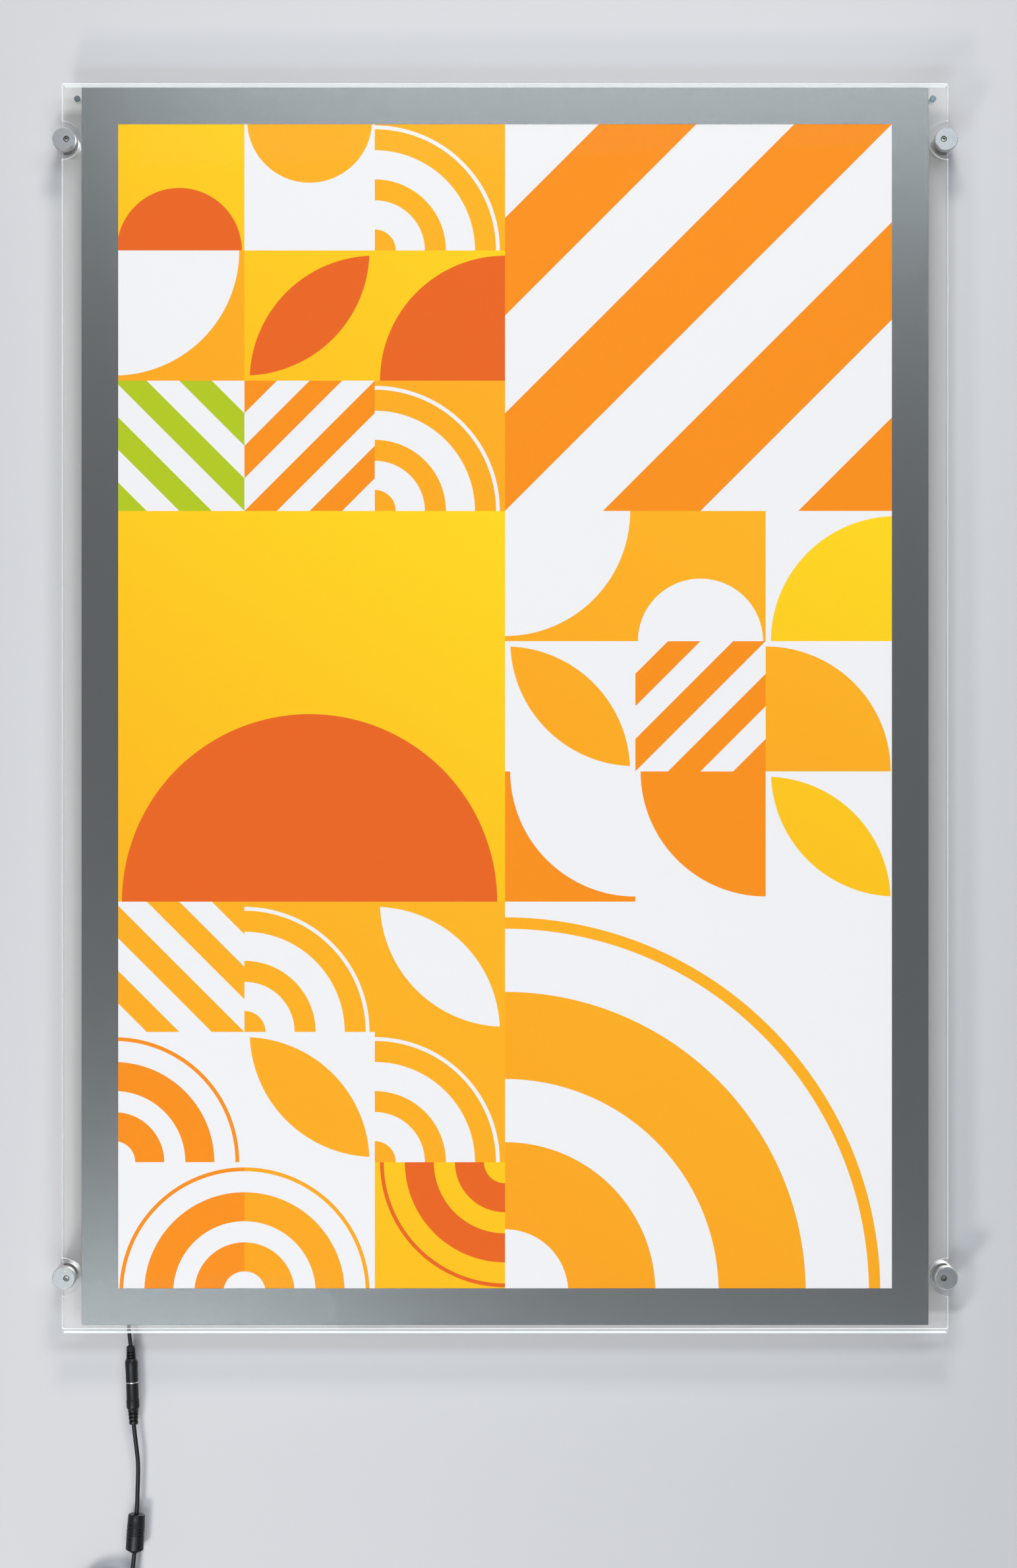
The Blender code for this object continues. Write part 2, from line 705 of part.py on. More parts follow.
# The magnets: one pair in the cover, its ends in the panel's holes, and one pair in the panel
magnet_radius = MAGNET_DIAMETER / 2
for side, sign in (("left", -1), ("right", 1)):
    for name, rear, front in (
        ("cover_magnet", cover_magnet_rear, cover_front - MAGNET_RECESS),
        ("back_magnet", back_magnet_rear, back_magnet_front),
    ):
        turned(
            f"{name}_{side}",
            [
                (0, rear),
                (magnet_radius - MAGNET_CHAMFER, rear),
                (magnet_radius, rear + MAGNET_CHAMFER),
                (magnet_radius, front - MAGNET_CHAMFER),
                (magnet_radius - MAGNET_CHAMFER, front),
                (0, front),
            ],
            20,
            MAGNET,
            at=(sign * magnet_right, magnet_up, 0),
        )

# The standoffs: a turned body on a wall base, slotted on the panel's side
base_top = BASE_FLANGE + BASE_SPIGOT_LENGTH
body_rear = BASE_FLANGE + FIT
bore_floor = base_top + FIT
slot_rear = WALL_GAP - FIT
slot_front = panel_front + FIT
standoff_radius = STANDOFF_DIAMETER / 2
standoff_profile = [
    (0, bore_floor),
    (BASE_SPIGOT_DIAMETER / 2 + FIT, bore_floor),
    (BASE_SPIGOT_DIAMETER / 2 + FIT, body_rear),
    (standoff_radius - BASE_EDGE, body_rear),
    (standoff_radius, body_rear + BASE_EDGE),
    (standoff_radius, standoff_face - STANDOFF_EDGE),
    (standoff_radius - STANDOFF_EDGE, standoff_face),
    (0, standoff_face),
]
sink_depth = (BASE_SINK_DIAMETER - BASE_HOLE_DIAMETER) / 2
base_profile = [
    (BASE_HOLE_DIAMETER / 2, 0),
    (standoff_radius, 0),
    (standoff_radius, BASE_FLANGE - BASE_EDGE),
    (standoff_radius - BASE_EDGE, BASE_FLANGE),
    (BASE_SPIGOT_DIAMETER / 2, BASE_FLANGE),
    (BASE_SPIGOT_DIAMETER / 2, base_top),
    (BASE_SINK_DIAMETER / 2, base_top),
    (BASE_HOLE_DIAMETER / 2, base_top - sink_depth),
]
pad_rear = panel_front + FIT
screw_rear = pad_rear + PAD_THICK + FIT
screw_front = screw_rear + SCREW_LENGTH
screw_radius = SCREW_DIAMETER / 2
core_radius = screw_radius - SCREW_CHAMFER
screw_profile = [
    (0, screw_rear),
    (core_radius, screw_rear),
    (screw_radius, screw_rear + SCREW_CHAMFER),
    (screw_radius, screw_front - SCREW_CHAMFER),
    (core_radius, screw_front),
    (0, screw_front),
]
pad_radius = screw_radius - FIT
pad_profile = [
    (0, pad_rear),
    (pad_radius - PAD_CHAMFER, pad_rear),
    (pad_radius, pad_rear + PAD_CHAMFER),
    (pad_radius, pad_rear + PAD_THICK),
    (0, pad_rear + PAD_THICK),
]
for name, right, up in (
    ("top_left", -1, 1),
    ("top_right", 1, 1),
    ("bottom_left", -1, -1),
    ("bottom_right", 1, -1),
):
    axis = (right * standoff_right, up * standoff_up)
    screw_axis = (right * (standoff_right - SCREW_OFFSET), up * standoff_up)
    turned(f"wall_base_{name}", base_profile, 36, ALUMINIUM, at=(*axis, 0), ring=True)
    body = turned(f"standoff_{name}", standoff_profile, 40, ALUMINIUM, at=(*axis, 0))
    inner = right * (standoff_right - standoff_radius - OVERRUN)
    blind = right * (panel_width / 2 + FIT)
    slot = block(
        f"slot_{name}",
        (min(inner, blind), up * standoff_up - standoff_radius - OVERRUN, slot_rear),
        (max(inner, blind), up * standoff_up + standoff_radius + OVERRUN, slot_front),
        None,
    )
    cut(body, slot)
    screw_hole = cylinder(
        f"screw_hole_{name}",
        screw_radius + FIT,
        (slot_rear + slot_front) / 2,
        standoff_face + OVERRUN,
        None,
        at=screw_axis,
        sides=20,
    )
    cut(body, screw_hole)
    screw = turned(f"set_screw_{name}", screw_profile, 20, STEEL, at=(*screw_axis, 0))
    socket = cylinder(
        f"socket_{name}",
        SOCKET_WIDTH / math.sqrt(3),
        screw_front - SOCKET_DEPTH,
        screw_front + OVERRUN,
        None,
        at=screw_axis,
        sides=6,
    )
    cut(screw, socket)
    turned(f"pressure_pad_{name}", pad_profile, 16, NYLON, at=(*screw_axis, 0))

# The rubber grommet in the cable hole
grommet_bore = PIGTAIL_DIAMETER / 2 + FIT
turned(
    "cable_grommet",
    [
        (grommet_bore, WALL_GAP - FIT - GROMMET_LIP),
        (GROMMET_FLANGE / 2, WALL_GAP - FIT - GROMMET_LIP),
        (GROMMET_FLANGE / 2, WALL_GAP - FIT),
        (GROMMET_NECK / 2, WALL_GAP - FIT),
        (GROMMET_NECK / 2, pocket_floor + FIT),
        (GROMMET_FLANGE / 2, pocket_floor + FIT),
        (GROMMET_FLANGE / 2, grommet_front),
        (grommet_bore, grommet_front),
    ],
    24,
    RUBBER,
    at=(exit_right, exit_up, 0),
    ring=True,
)


def hanging(name, top, tilt):
    """An empty at a point of the cord, its local Z down along the cord."""
    made = bpy.data.objects.new(name, None)
    made.parent = cable_exit
    made.location = top
    made.rotation_euler = (0, math.pi - tilt, 0)
    parts.objects.link(made)
    return made


def ribbed(start_radius, end_radius, start, length):
    """The outer profile of a strain relief: ribs with a groove after each."""
    pitch = length / RELIEF_RIBS
    points = []
    for i in range(RELIEF_RIBS):
        outer = start_radius + (end_radius - start_radius) * (i + 0.5) / RELIEF_RIBS
        for run, sink in RIB_PROFILE_SHARES:
            points.append((outer - sink * RIB_DEPTH, start + (i + run) * pitch))
    return points


def along(top, tilt, distance):
    """The point at a distance down a hanging line."""
    return Vector(top) + distance * Vector((math.sin(tilt), 0, -math.cos(tilt)))


# The inline connector: its jack above, its plug below, on one slightly tilted line
connector = hanging("connector_axis", JACK_TOP, CONNECTOR_TILT)
jack_floor = JACK_LENGTH - JACK_BORE_DEPTH
head_end = JACK_RELIEF_LENGTH + JACK_HEAD_LENGTH
pin_floor = jack_floor - PIN_ROOT
pin_hole = PIN_RADIUS + FIT
turned(
    "dc_jack",
    [
        (0, 0),
        (JACK_RELIEF_TOP_RADIUS - RIB_DEPTH, 0),
        *ribbed(JACK_RELIEF_TOP_RADIUS, JACK_RELIEF_RADIUS, 0, JACK_RELIEF_LENGTH),
        (JACK_HEAD_RADIUS - JACK_EDGE, JACK_RELIEF_LENGTH),
        (JACK_HEAD_RADIUS, JACK_RELIEF_LENGTH + JACK_EDGE),
        (JACK_HEAD_RADIUS, head_end),
        (JACK_RADIUS, head_end + JACK_EDGE),
        (JACK_RADIUS, JACK_LENGTH),
        (JACK_BORE_RADIUS, JACK_LENGTH),
        (JACK_BORE_RADIUS, jack_floor),
        (pin_hole, jack_floor),
        (pin_hole, pin_floor),
        (0, pin_floor),
    ],
    24,
    BLACK_PVC,
    parent=connector,
)
turned(
    "jack_pin",
    [
        (0, pin_floor + FIT),
        (PIN_RADIUS, pin_floor + FIT),
        (PIN_RADIUS, JACK_LENGTH - 2 * PIN_RADIUS),
        (PIN_RADIUS / 2, JACK_LENGTH - PIN_RADIUS),
        (0, JACK_LENGTH - PIN_RADIUS),
    ],
    12,
    NICKEL,
    parent=connector,
)
plug_start = JACK_LENGTH + CONNECTOR_GAP
barrel_end = plug_start + BARREL_ROOT
turned(
    "plug_barrel",
    [
        (BARREL_BORE_RADIUS, plug_start - BARREL_REACH),
        (BARREL_RADIUS, plug_start - BARREL_REACH),
        (BARREL_RADIUS, barrel_end - FIT),
        (BARREL_BORE_RADIUS, barrel_end - FIT),
    ],
    20,
    NICKEL,
    parent=connector,
    ring=True,
)
plug_end = plug_start + PLUG_LENGTH
relief_end = plug_end + PLUG_RELIEF_LENGTH
turned(
    "dc_plug",
    [
        (0, barrel_end),
        (BARREL_RADIUS + FIT, barrel_end),
        (BARREL_RADIUS + FIT, plug_start),
        (PLUG_NOSE_RADIUS, plug_start),
        (PLUG_NOSE_RADIUS, plug_start + PLUG_NOSE_LENGTH),
        (PLUG_RADIUS, plug_start + PLUG_NOSE_LENGTH + PLUG_FLARE),
        (PLUG_RADIUS, plug_end - 2 * RIB_DEPTH),
        (PLUG_RELIEF_RADIUS, plug_end - RIB_DEPTH),
        *ribbed(PLUG_RELIEF_RADIUS, PLUG_RELIEF_END_RADIUS, plug_end - RIB_DEPTH, PLUG_RELIEF_LENGTH),
        (0, relief_end - RIB_DEPTH),
    ],
    24,
    BLACK_PVC,
    parent=connector,
)
lead_start = relief_end - RIB_DEPTH + FIT

# The ferrite bead, moulded round the lead, with its ring grooves and two small dimples
bead_axis = hanging("bead_axis", BEAD_TOP, BEAD_TILT)
groove_points = []
first_groove = BEAD_GROOVE_DOWN - BEAD_GROOVE_PITCH * (BEAD_GROOVES - 1) / 2
for i in range(BEAD_GROOVES):
    middle = first_groove + i * BEAD_GROOVE_PITCH
    groove_points += [
        (BEAD_RADIUS, middle - 2 * BEAD_GROOVE_DEPTH),
        (BEAD_RADIUS - BEAD_GROOVE_DEPTH, middle - BEAD_GROOVE_DEPTH),
        (BEAD_RADIUS - BEAD_GROOVE_DEPTH, middle + BEAD_GROOVE_DEPTH),
        (BEAD_RADIUS, middle + 2 * BEAD_GROOVE_DEPTH),
    ]
bead = turned(
    "ferrite_bead",
    [
        (BEAD_BORE_RADIUS, 0),
        *arc((BEAD_TOP_RADIUS - BEAD_TOP_EDGE, BEAD_TOP_EDGE), BEAD_TOP_EDGE, -90, 0, 3),
        *groove_points,
        (BEAD_RADIUS, BEAD_LENGTH - BEAD_CONE - BEAD_FOOT_EDGE),
        (BEAD_RADIUS - BEAD_FOOT_EDGE, BEAD_LENGTH - BEAD_CONE),
        (BEAD_FOOT_RADIUS, BEAD_LENGTH),
        (BEAD_BORE_RADIUS, BEAD_LENGTH),
    ],
    32,
    BLACK_PVC,
    parent=bead_axis,
    ring=True,
)
for name, side in (("upper", -1), ("lower", 1)):
    down = DIMPLE_DOWN + side * DIMPLE_SPREAD / 2
    dimple = cylinder(
        f"dimple_{name}",
        DIMPLE_RADIUS,
        BEAD_RADIUS - DIMPLE_DEPTH,
        BEAD_RADIUS + OVERRUN,
        None,
        parent=bead_axis,
        turn=(math.pi / 2, 0, DIMPLE_TURN),
        sides=10,
    )
    dimple.location = (0, 0, down)
    cut(bead, dimple)

# The cords: the pigtail, the supply lead, its coil, and the tail to the adapter
pigtail_root = (0, SPLICE_DIAMETER / 2 + FIT - splice_out, 0)
pigtail_foot = along(JACK_TOP, CONNECTOR_TILT, -FIT)
pigtail_line = smooth_line([pigtail_root, *PIGTAIL_ROUTE, pigtail_foot], PIGTAIL_DIAMETER)
tube("pigtail", pigtail_line, PIGTAIL_DIAMETER)
lead_top = along(JACK_TOP, CONNECTOR_TILT, lead_start)
lead_line = smooth_line([lead_top, *LEAD_ROUTE], CORD_DIAMETER)
tube("supply_lead", lead_line, CORD_DIAMETER)

layer_angle = math.tau * COIL_TURNS
spread = COIL_PITCH * COIL_TURNS
outer_radius = COIL_RADIUS + spread / 2
lead_foot = Vector(LEAD_ROUTE[-1])
coil_top = lead_foot - Vector((0, 0, FIT))
coil_centre = coil_top - Vector((outer_radius, 0, CORD_DIAMETER))


def coil_point(angle):
    """The cord's centre after an angle of winding, clockwise as seen from the front."""
    layer = angle / layer_angle
    into = layer % 2
    inwards = into if into < 1 else 2 - into
    radius = outer_radius - spread * inwards
    out = 0
    for climb in range(1, COIL_LAYERS):
        share = (angle - climb * layer_angle) / math.pi + 0.5
        share = min(1, max(0, share))
        out += COIL_PITCH * share * share * (3 - 2 * share)
    return coil_centre + Vector((radius * math.cos(angle), -out, -radius * math.sin(angle)))


coil_angle = COIL_LAYERS * layer_angle
coil_steps = round(COIL_POINTS * coil_angle / math.tau)
coil_line = [coil_top]
coil_line += [coil_point(coil_angle * i / coil_steps) for i in range(coil_steps + 1)]
coil_line.append(coil_line[-1] - Vector((0, 0, CORD_DIAMETER)))
tube("lead_coil", coil_line, CORD_DIAMETER, resolution=1)


def least_gap(line, diameter):
    """The least distance between the surfaces of stretches that aren't neighbours."""
    apart = COIL_POINTS // 2
    best = math.inf
    for i, here in enumerate(line):
        for j in range(i + apart, len(line) - 1):
            run = line[j + 1] - line[j]
            share = min(1, max(0, (here - line[j]).dot(run) / run.length_squared))
            best = min(best, (here - line[j] - share * run).length)
    return best - diameter


print(f"least gap between the coil's turns: {least_gap(coil_line, CORD_DIAMETER) * 1000:.2f} mm")

# The tie round all the coil's turns, on the side where the lead comes in
tie_in = coil_centre.x + outer_radius - spread - CORD_DIAMETER / 2 - FIT
tie_out = coil_centre.x + outer_radius + CORD_DIAMETER / 2 + FIT
tie_near_wall = coil_centre.y + CORD_DIAMETER / 2 + FIT
tie_front = coil_centre.y - (COIL_LAYERS - 1) * COIL_PITCH - CORD_DIAMETER / 2 - FIT
tie_up = coil_centre.z
tie = block(
    "coil_tie",
    (tie_in - TIE_THICK, tie_front - TIE_THICK, tie_up - TIE_WIDTH / 2),
    (tie_out + TIE_THICK, tie_near_wall + TIE_THICK, tie_up + TIE_WIDTH / 2),
    BLACK_PVC,
    parent=cable_exit,
    rounded=TIE_ROUND,
    segments=2,
)
tie_window = block(
    "tie_window",
    (tie_in, tie_front, tie_up - TIE_WIDTH),
    (tie_out, tie_near_wall, tie_up + TIE_WIDTH),
    None,
    parent=cable_exit,
)
cut(tie, tie_window)

# The wall adapter that hangs on the lead's far end
tail_top = coil_line[-1] - Vector((0, 0, FIT))
tail_end = tail_top - Vector((0, 0, TAIL_LENGTH))
tail_line = smooth_line([tail_top, tail_end], 2 * CORD_DIAMETER)
tube("adapter_tail", tail_line, CORD_DIAMETER)
relief_axis = hanging("relief_axis", tail_end - Vector((0, 0, FIT)), 0)
relief_foot = ADAPTER_RELIEF_LENGTH + ADAPTER_RELIEF_ROOT
turned(
    "adapter_relief",
    [
        (0, 0),
        (ADAPTER_RELIEF_END_RADIUS - RIB_DEPTH, 0),
        *ribbed(ADAPTER_RELIEF_END_RADIUS, ADAPTER_RELIEF_RADIUS, 0, ADAPTER_RELIEF_LENGTH),
        (ADAPTER_RELIEF_RADIUS - RIB_DEPTH, relief_foot),
        (0, relief_foot),
    ],
    20,
    BLACK_PVC,
    parent=relief_axis,
)
adapter_top = tail_end.z - FIT - ADAPTER_RELIEF_LENGTH
adapter_low = adapter_top - ADAPTER_HEIGHT
adapter_rear = tail_end.y + (ADAPTER_REAR_DEPTH + ADAPTER_FRONT_DEPTH) / 2
seam = adapter_rear - ADAPTER_REAR_DEPTH
adapter_front = seam - ADAPTER_FRONT_DEPTH
adapter_left = tail_end.x - ADAPTER_WIDTH / 2
adapter_right = tail_end.x + ADAPTER_WIDTH / 2
case_low = Vector((adapter_left, adapter_front, adapter_low))
case_high = Vector((adapter_right, adapter_rear, adapter_top))
past = Vector((OVERRUN, OVERRUN, OVERRUN))
case_halves = []
for side, seam_low, seam_high in (
    ("rear", case_low.y - OVERRUN, seam + FIT / 2),
    ("front", seam - FIT / 2, case_high.y + OVERRUN),
):
    half = block(
        f"adapter_case_{side}", case_low, case_high, BLACK_SHELL, cable_exit, rounded=ADAPTER_ROUND
    )
    other_low, other_high = case_low - past, case_high + past
    other_low.y, other_high.y = seam_low, seam_high
    cut(half, block(f"other_than_{side}", other_low, other_high, None, cable_exit))
    case_halves.append(half)
case_rear, case_front = case_halves
relief_seat = cylinder(
    "relief_seat",
    ADAPTER_RELIEF_RADIUS - RIB_DEPTH + FIT,
    ADAPTER_RELIEF_LENGTH - OVERRUN,
    relief_foot + FIT,
    None,
    parent=relief_axis,
    sides=20,
)
cut(case_rear, relief_seat)
cut(case_front, relief_seat)
blade_up = (adapter_top + adapter_low) / 2 - BLADE_DOWN
for side, sign in (("left", -1), ("right", 1)):
    middle = tail_end.x + sign * BLADE_APART / 2
    low = (middle - BLADE_THICK / 2, adapter_front - BLADE_REACH, blade_up - BLADE_WIDTH / 2)
    high = (middle + BLADE_THICK / 2, adapter_front + BLADE_ROOT, blade_up + BLADE_WIDTH / 2)
    blade = block(
        f"adapter_blade_{side}", low, high, NICKEL, cable_exit, rounded=BLADE_EDGE, segments=1
    )
    blade_hole = cylinder(
        f"blade_hole_{side}",
        BLADE_HOLE_RADIUS,
        -BLADE_THICK,
        BLADE_THICK,
        None,
        parent=cable_exit,
        turn=(0, math.pi / 2, 0),
        sides=14,
    )
    blade_hole.location = (middle, adapter_front - BLADE_REACH + BLADE_HOLE_BACK, blade_up)
    cut(blade, blade_hole)
    blade_slot = block(
        f"blade_slot_{side}",
        Vector(low) - Vector((FIT, 0, FIT)),
        Vector(high) + Vector((FIT, FIT, FIT)),
        None,
        parent=cable_exit,
    )
    cut(case_front, blade_slot)

lead_length = length_of(lead_line) + length_of(coil_line) + length_of(tail_line)
print(f"pigtail {length_of(pigtail_line):.4f} m, supply lead {lead_length:.3f} m in all")
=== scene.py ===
import math

import bpy
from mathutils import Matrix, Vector


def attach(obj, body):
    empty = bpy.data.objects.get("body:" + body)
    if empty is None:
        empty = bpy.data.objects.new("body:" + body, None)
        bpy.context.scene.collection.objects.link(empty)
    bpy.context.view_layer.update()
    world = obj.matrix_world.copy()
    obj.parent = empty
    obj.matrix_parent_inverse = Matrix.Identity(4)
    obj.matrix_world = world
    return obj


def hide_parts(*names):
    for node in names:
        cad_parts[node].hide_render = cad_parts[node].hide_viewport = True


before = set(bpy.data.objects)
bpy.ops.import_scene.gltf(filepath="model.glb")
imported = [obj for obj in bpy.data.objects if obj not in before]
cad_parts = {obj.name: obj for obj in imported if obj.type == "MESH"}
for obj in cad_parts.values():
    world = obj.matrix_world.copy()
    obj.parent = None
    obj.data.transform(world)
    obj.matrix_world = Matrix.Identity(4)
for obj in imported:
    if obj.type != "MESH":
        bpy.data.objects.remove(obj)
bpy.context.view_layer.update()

# The camera stands 2.4 m in front of the cover and a little below its middle, square to the
# wall, with a moderate lens.
CAMERA_PLACE = (0.0027, -2.4315, -0.0586)
CAMERA_LENS_MM = 70.77
CAMERA_SENSOR_MM = 36.0
camera_data = bpy.data.cameras.new("camera")
camera_data.lens = CAMERA_LENS_MM
camera_data.sensor_width = CAMERA_SENSOR_MM
camera = bpy.data.objects.new("camera", camera_data)
camera.location = CAMERA_PLACE
camera.rotation_euler = (math.pi / 2, 0, 0)
bpy.context.scene.collection.objects.link(camera)
bpy.context.scene.camera = camera
bpy.context.scene.view_settings.view_transform = "Standard"


# The inline jack is soft black PVC, moulded round the pigtail's end with a slotted strain
# relief. It hangs a little off plumb, and its bore takes the plug's barrel round a nickel pin.
CABLE_EXIT = Vector((-0.2952, 0, -0.4670))
JACK_TOP = Vector((0.0014, -0.0110, -0.0336))
CONNECTOR_TILT = math.radians(2.2)
SEAT_GAP = 0.0003
JACK_LINE = [  # how far down the connector's line, and the radius there
    (0.0002, 0.0017), (-0.0007, 0.0017), (-0.0008, 0.0020), (-0.0008, 0.0028), (-0.0006, 0.0031),
    (-0.0002, 0.0033), (0.0031, 0.00350), (0.0033, 0.00335), (0.0033, 0.00200), (0.0045, 0.00200),
    (0.0045, 0.00345), (0.0047, 0.00360), (0.0054, 0.00364), (0.0056, 0.00350), (0.0056, 0.00205),
    (0.0068, 0.00205), (0.0068, 0.00358), (0.0070, 0.00374), (0.0077, 0.00379), (0.0079, 0.00364),
    (0.0079, 0.00215), (0.0089, 0.00215), (0.0089, 0.00372), (0.0091, 0.00388),
    (0.0095, 0.00400), (0.0099, 0.00430), (0.0104, 0.00462), (0.0110, 0.00484),
    (0.0118, 0.00496), (0.0128, 0.00500), (0.0155, 0.00498), (0.0168, 0.00484),
    (0.0180, 0.00480), (0.0272, 0.00476), (0.0273, 0.00465), (0.0273, 0.00305), (0.0186, 0.00305),
]  # fmt: skip
JACK_SLOTS = [  # the floor's two edges, its radius, and the radius of the spines beside it
    (0.0033, 0.0045, 0.00200, 0.0034),
    (0.0056, 0.0068, 0.00205, 0.0036),
    (0.0079, 0.0089, 0.00215, 0.0037),
]
SPINE_SHARE = 0.80  # of the radius: past it to a side, a slot is bridged by a spine
SAME_PLACE = 0.00001  # points nearer than this to a slot's floor lie on it
SMOOTH_ANGLE = math.radians(32)  # edges that turn more than this stay sharp


def down_the_connector(distance):
    """The point at a distance down the jack's and plug's common line, from the cable's exit."""
    return JACK_TOP + distance * Vector((math.sin(CONNECTOR_TILT), 0, -math.cos(CONNECTOR_TILT)))


def turned(name, line, slots=(), sides=64):
    """A round piece drawn out ring by ring, down from its top at the origin."""
    bpy.ops.object.select_all(action="DESELECT")
    (down, radius), *rest = line
    bpy.ops.mesh.primitive_circle_add(
        vertices=sides, radius=radius, fill_type="NGON", location=(0, 0, -down)
    )
    made = bpy.context.object
    made.name = made.data.name = name
    bpy.ops.object.transform_apply(location=True)
    bpy.ops.object.mode_set(mode="EDIT")
    bpy.ops.mesh.select_all(action="SELECT")
    for lower, wider in rest:
        bpy.ops.mesh.extrude_region_move(
            TRANSFORM_OT_translate={"value": (0, 0, down - lower)}
        )
        grown = wider / radius
        bpy.ops.transform.resize(value=(grown, grown, 1), center_override=(0, 0, -lower))
        down, radius = lower, wider
    bpy.ops.mesh.select_all(action="SELECT")
    bpy.ops.mesh.normals_make_consistent(inside=False)
    for top, bottom, floor, outer in slots:
        bpy.ops.mesh.select_all(action="DESELECT")
        bpy.ops.object.mode_set(mode="OBJECT")
        for point in made.data.vertices:
            x, y, z = point.co
            in_slot = -bottom - SAME_PLACE <= z <= -top + SAME_PLACE
            at_floor = abs(math.hypot(x, y) - floor) < SAME_PLACE
            point.select = in_slot and at_floor and abs(x) > SPINE_SHARE * floor
        grown = outer / floor
        bpy.ops.object.mode_set(mode="EDIT")
        bpy.ops.transform.resize(value=(grown, grown, 1), center_override=(0, 0, -top))
    bpy.ops.object.mode_set(mode="OBJECT")
    return made


def pick(piece):
    """Selects one piece alone, for the operators that follow."""
    bpy.ops.object.select_all(action="DESELECT")
    piece.select_set(True)
    bpy.context.view_layer.objects.active = piece


def hang(piece, top, tilt):
    """Sets a piece made at the origin in its place from the cable's exit, turned off plumb."""
    pick(piece)
    bpy.ops.object.shade_smooth_by_angle(angle=SMOOTH_ANGLE)
    piece.rotation_euler = (0, -tilt, 0)
    piece.location = CABLE_EXIT + top
    bpy.ops.object.transform_apply(location=True, rotation=True, scale=True)


def ink(code):
    """A colour written as it looks, as the shader wants it."""
    parts = [int(code[i : i + 2], 16) / 255 for i in (0, 2, 4)]
    return tuple(c / 12.92 if c <= 0.04045 else ((c + 0.055) / 1.055) ** 2.4 for c in parts)


class Signal:
    """A socket in a finish's nodes. Sums on it add the Math nodes that work them out."""

    def __init__(self, finish, socket):
        self.finish, self.socket = finish, socket

    def math(self, operation, *others):
        inputs = dict(enumerate((self, *others)))
        return self.finish.node("Math", {"operation": operation}, inputs)

    def __add__(self, other):
        return self.math("ADD", other)

    def __sub__(self, other):
        return self.math("SUBTRACT", other)

    def __rsub__(self, other):
        return self.finish.node("Math", {"operation": "SUBTRACT"}, {0: other, 1: self})

    def __mul__(self, other):
        return self.math("MULTIPLY", other)

    def __truediv__(self, other):
        return self.math("DIVIDE", other)

    def __pow__(self, other):
        return self.math("POWER", other)

    def __lt__(self, other):
        return self.math("LESS_THAN", other)

    def __gt__(self, other):
        return self.math("GREATER_THAN", other)

    def __abs__(self):
        return self.math("ABSOLUTE")

    __radd__ = __add__
    __rmul__ = __mul__


class Finish:
    """One material: its Principled shader, and the nodes that feed it."""

    def __init__(self, name, **steady):
        self.material = bpy.data.materials.new(name)
        self.material.use_nodes = True
        self.tree = self.material.node_tree
        self.shader = self.tree.nodes["Principled BSDF"]
        self.feed(**steady)

    def node(self, kind, settings, inputs, output=0):
        """A node of a type, its settings made first, then its sockets' values or links."""
        made = self.tree.nodes.new("ShaderNode" + kind)
        for name, value in settings.items():
            setattr(made, name, value)
        for name, value in inputs.items():
            self.connect(made.inputs[name], value)
        return Signal(self, made.outputs[output])

    def connect(self, socket, value):
        if isinstance(value, Signal):
            self.tree.links.new(value.socket, socket)
        elif socket.type == "RGBA" and len(value) == 3:
            socket.default_value = (*value, 1)
        else:
            socket.default_value = value

    def feed(self, **inputs):
        """Values or links for the shader's own sockets, an underscore for each space."""
        for name, value in inputs.items():
            self.connect(self.shader.inputs[name.replace("_", " ")], value)

    def place(self):
        """The three Object coordinates, apart."""
        at = self.node("TexCoord", {}, {}, "Object")
        return [self.node("SeparateXYZ", {}, {0: at}, axis) for axis in range(3)]

    def facing(self):
        """How far the surface faces along Y, from 0 for a side to 1 for a front or rear."""
        normal = self.node("TexCoord", {}, {}, "Normal")
        return abs(self.node("SeparateXYZ", {}, {0: normal}, 1))

    def noise(self, scale, detail=2.0, stretch=(1, 1, 1)):
        """A soft pattern from 0 to 1, its scale in waves to the metre."""
        at = self.node("TexCoord", {}, {}, "Object")
        at = self.node("Mapping", {}, {"Vector": at, "Scale": stretch})
        return self.node("TexNoise", {}, {"Vector": at, "Scale": scale, "Detail": detail})

    def mix(self, share, first, second, blend="MIX"):
        """A colour from the first to the second by a share, or the two blended."""
        settings = {"data_type": "RGBA", "blend_type": blend}
        return self.node("Mix", settings, {0: share, 6: first, 7: second}, 2)

    def steps(self, share, stops):
        """The colour of the last stop that a share has passed."""
        picked = self.node("ValToRGB", {}, {0: share})
        ramp = picked.socket.node.color_ramp
        ramp.interpolation = "CONSTANT"
        while len(ramp.elements) < len(stops):
            ramp.elements.new(1)
        for element, (position, colour) in zip(ramp.elements, stops):
            element.position, element.color = position, (*colour, 1)
        return picked

    def relief(self, height, depth):
        """Bumps the surface by a height from 0 to 1, over a depth in metres."""
        self.feed(Normal=self.node("Bump", {}, {"Height": height, "Distance": depth}))

    def dress(self, *pieces):
        """Puts the finish on CAD nodes by name, or on new pieces."""
        for piece in pieces:
            if isinstance(piece, str):
                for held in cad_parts[piece].material_slots:
                    held.material = self.material
            else:
                piece.data.materials.append(self.material)


def between(low, high, share):
    """A plain number from low to high by a share."""
    return low + share * (high - low)


black_pvc = Finish("black_pvc", IOR=1.36)
flow = black_pvc.noise(700.0)
black_pvc.feed(
    Base_Color=black_pvc.mix(flow, ink("08090b"), ink("101114")),
    Roughness=between(0.34, 0.46, flow),
)
black_pvc.relief(flow, 0.00002)
jack = turned("inline_jack", JACK_LINE, JACK_SLOTS)
hang(jack, JACK_TOP, CONNECTOR_TILT)
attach(jack, "box")
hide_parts("dc_jack")
black_pvc.dress(jack)

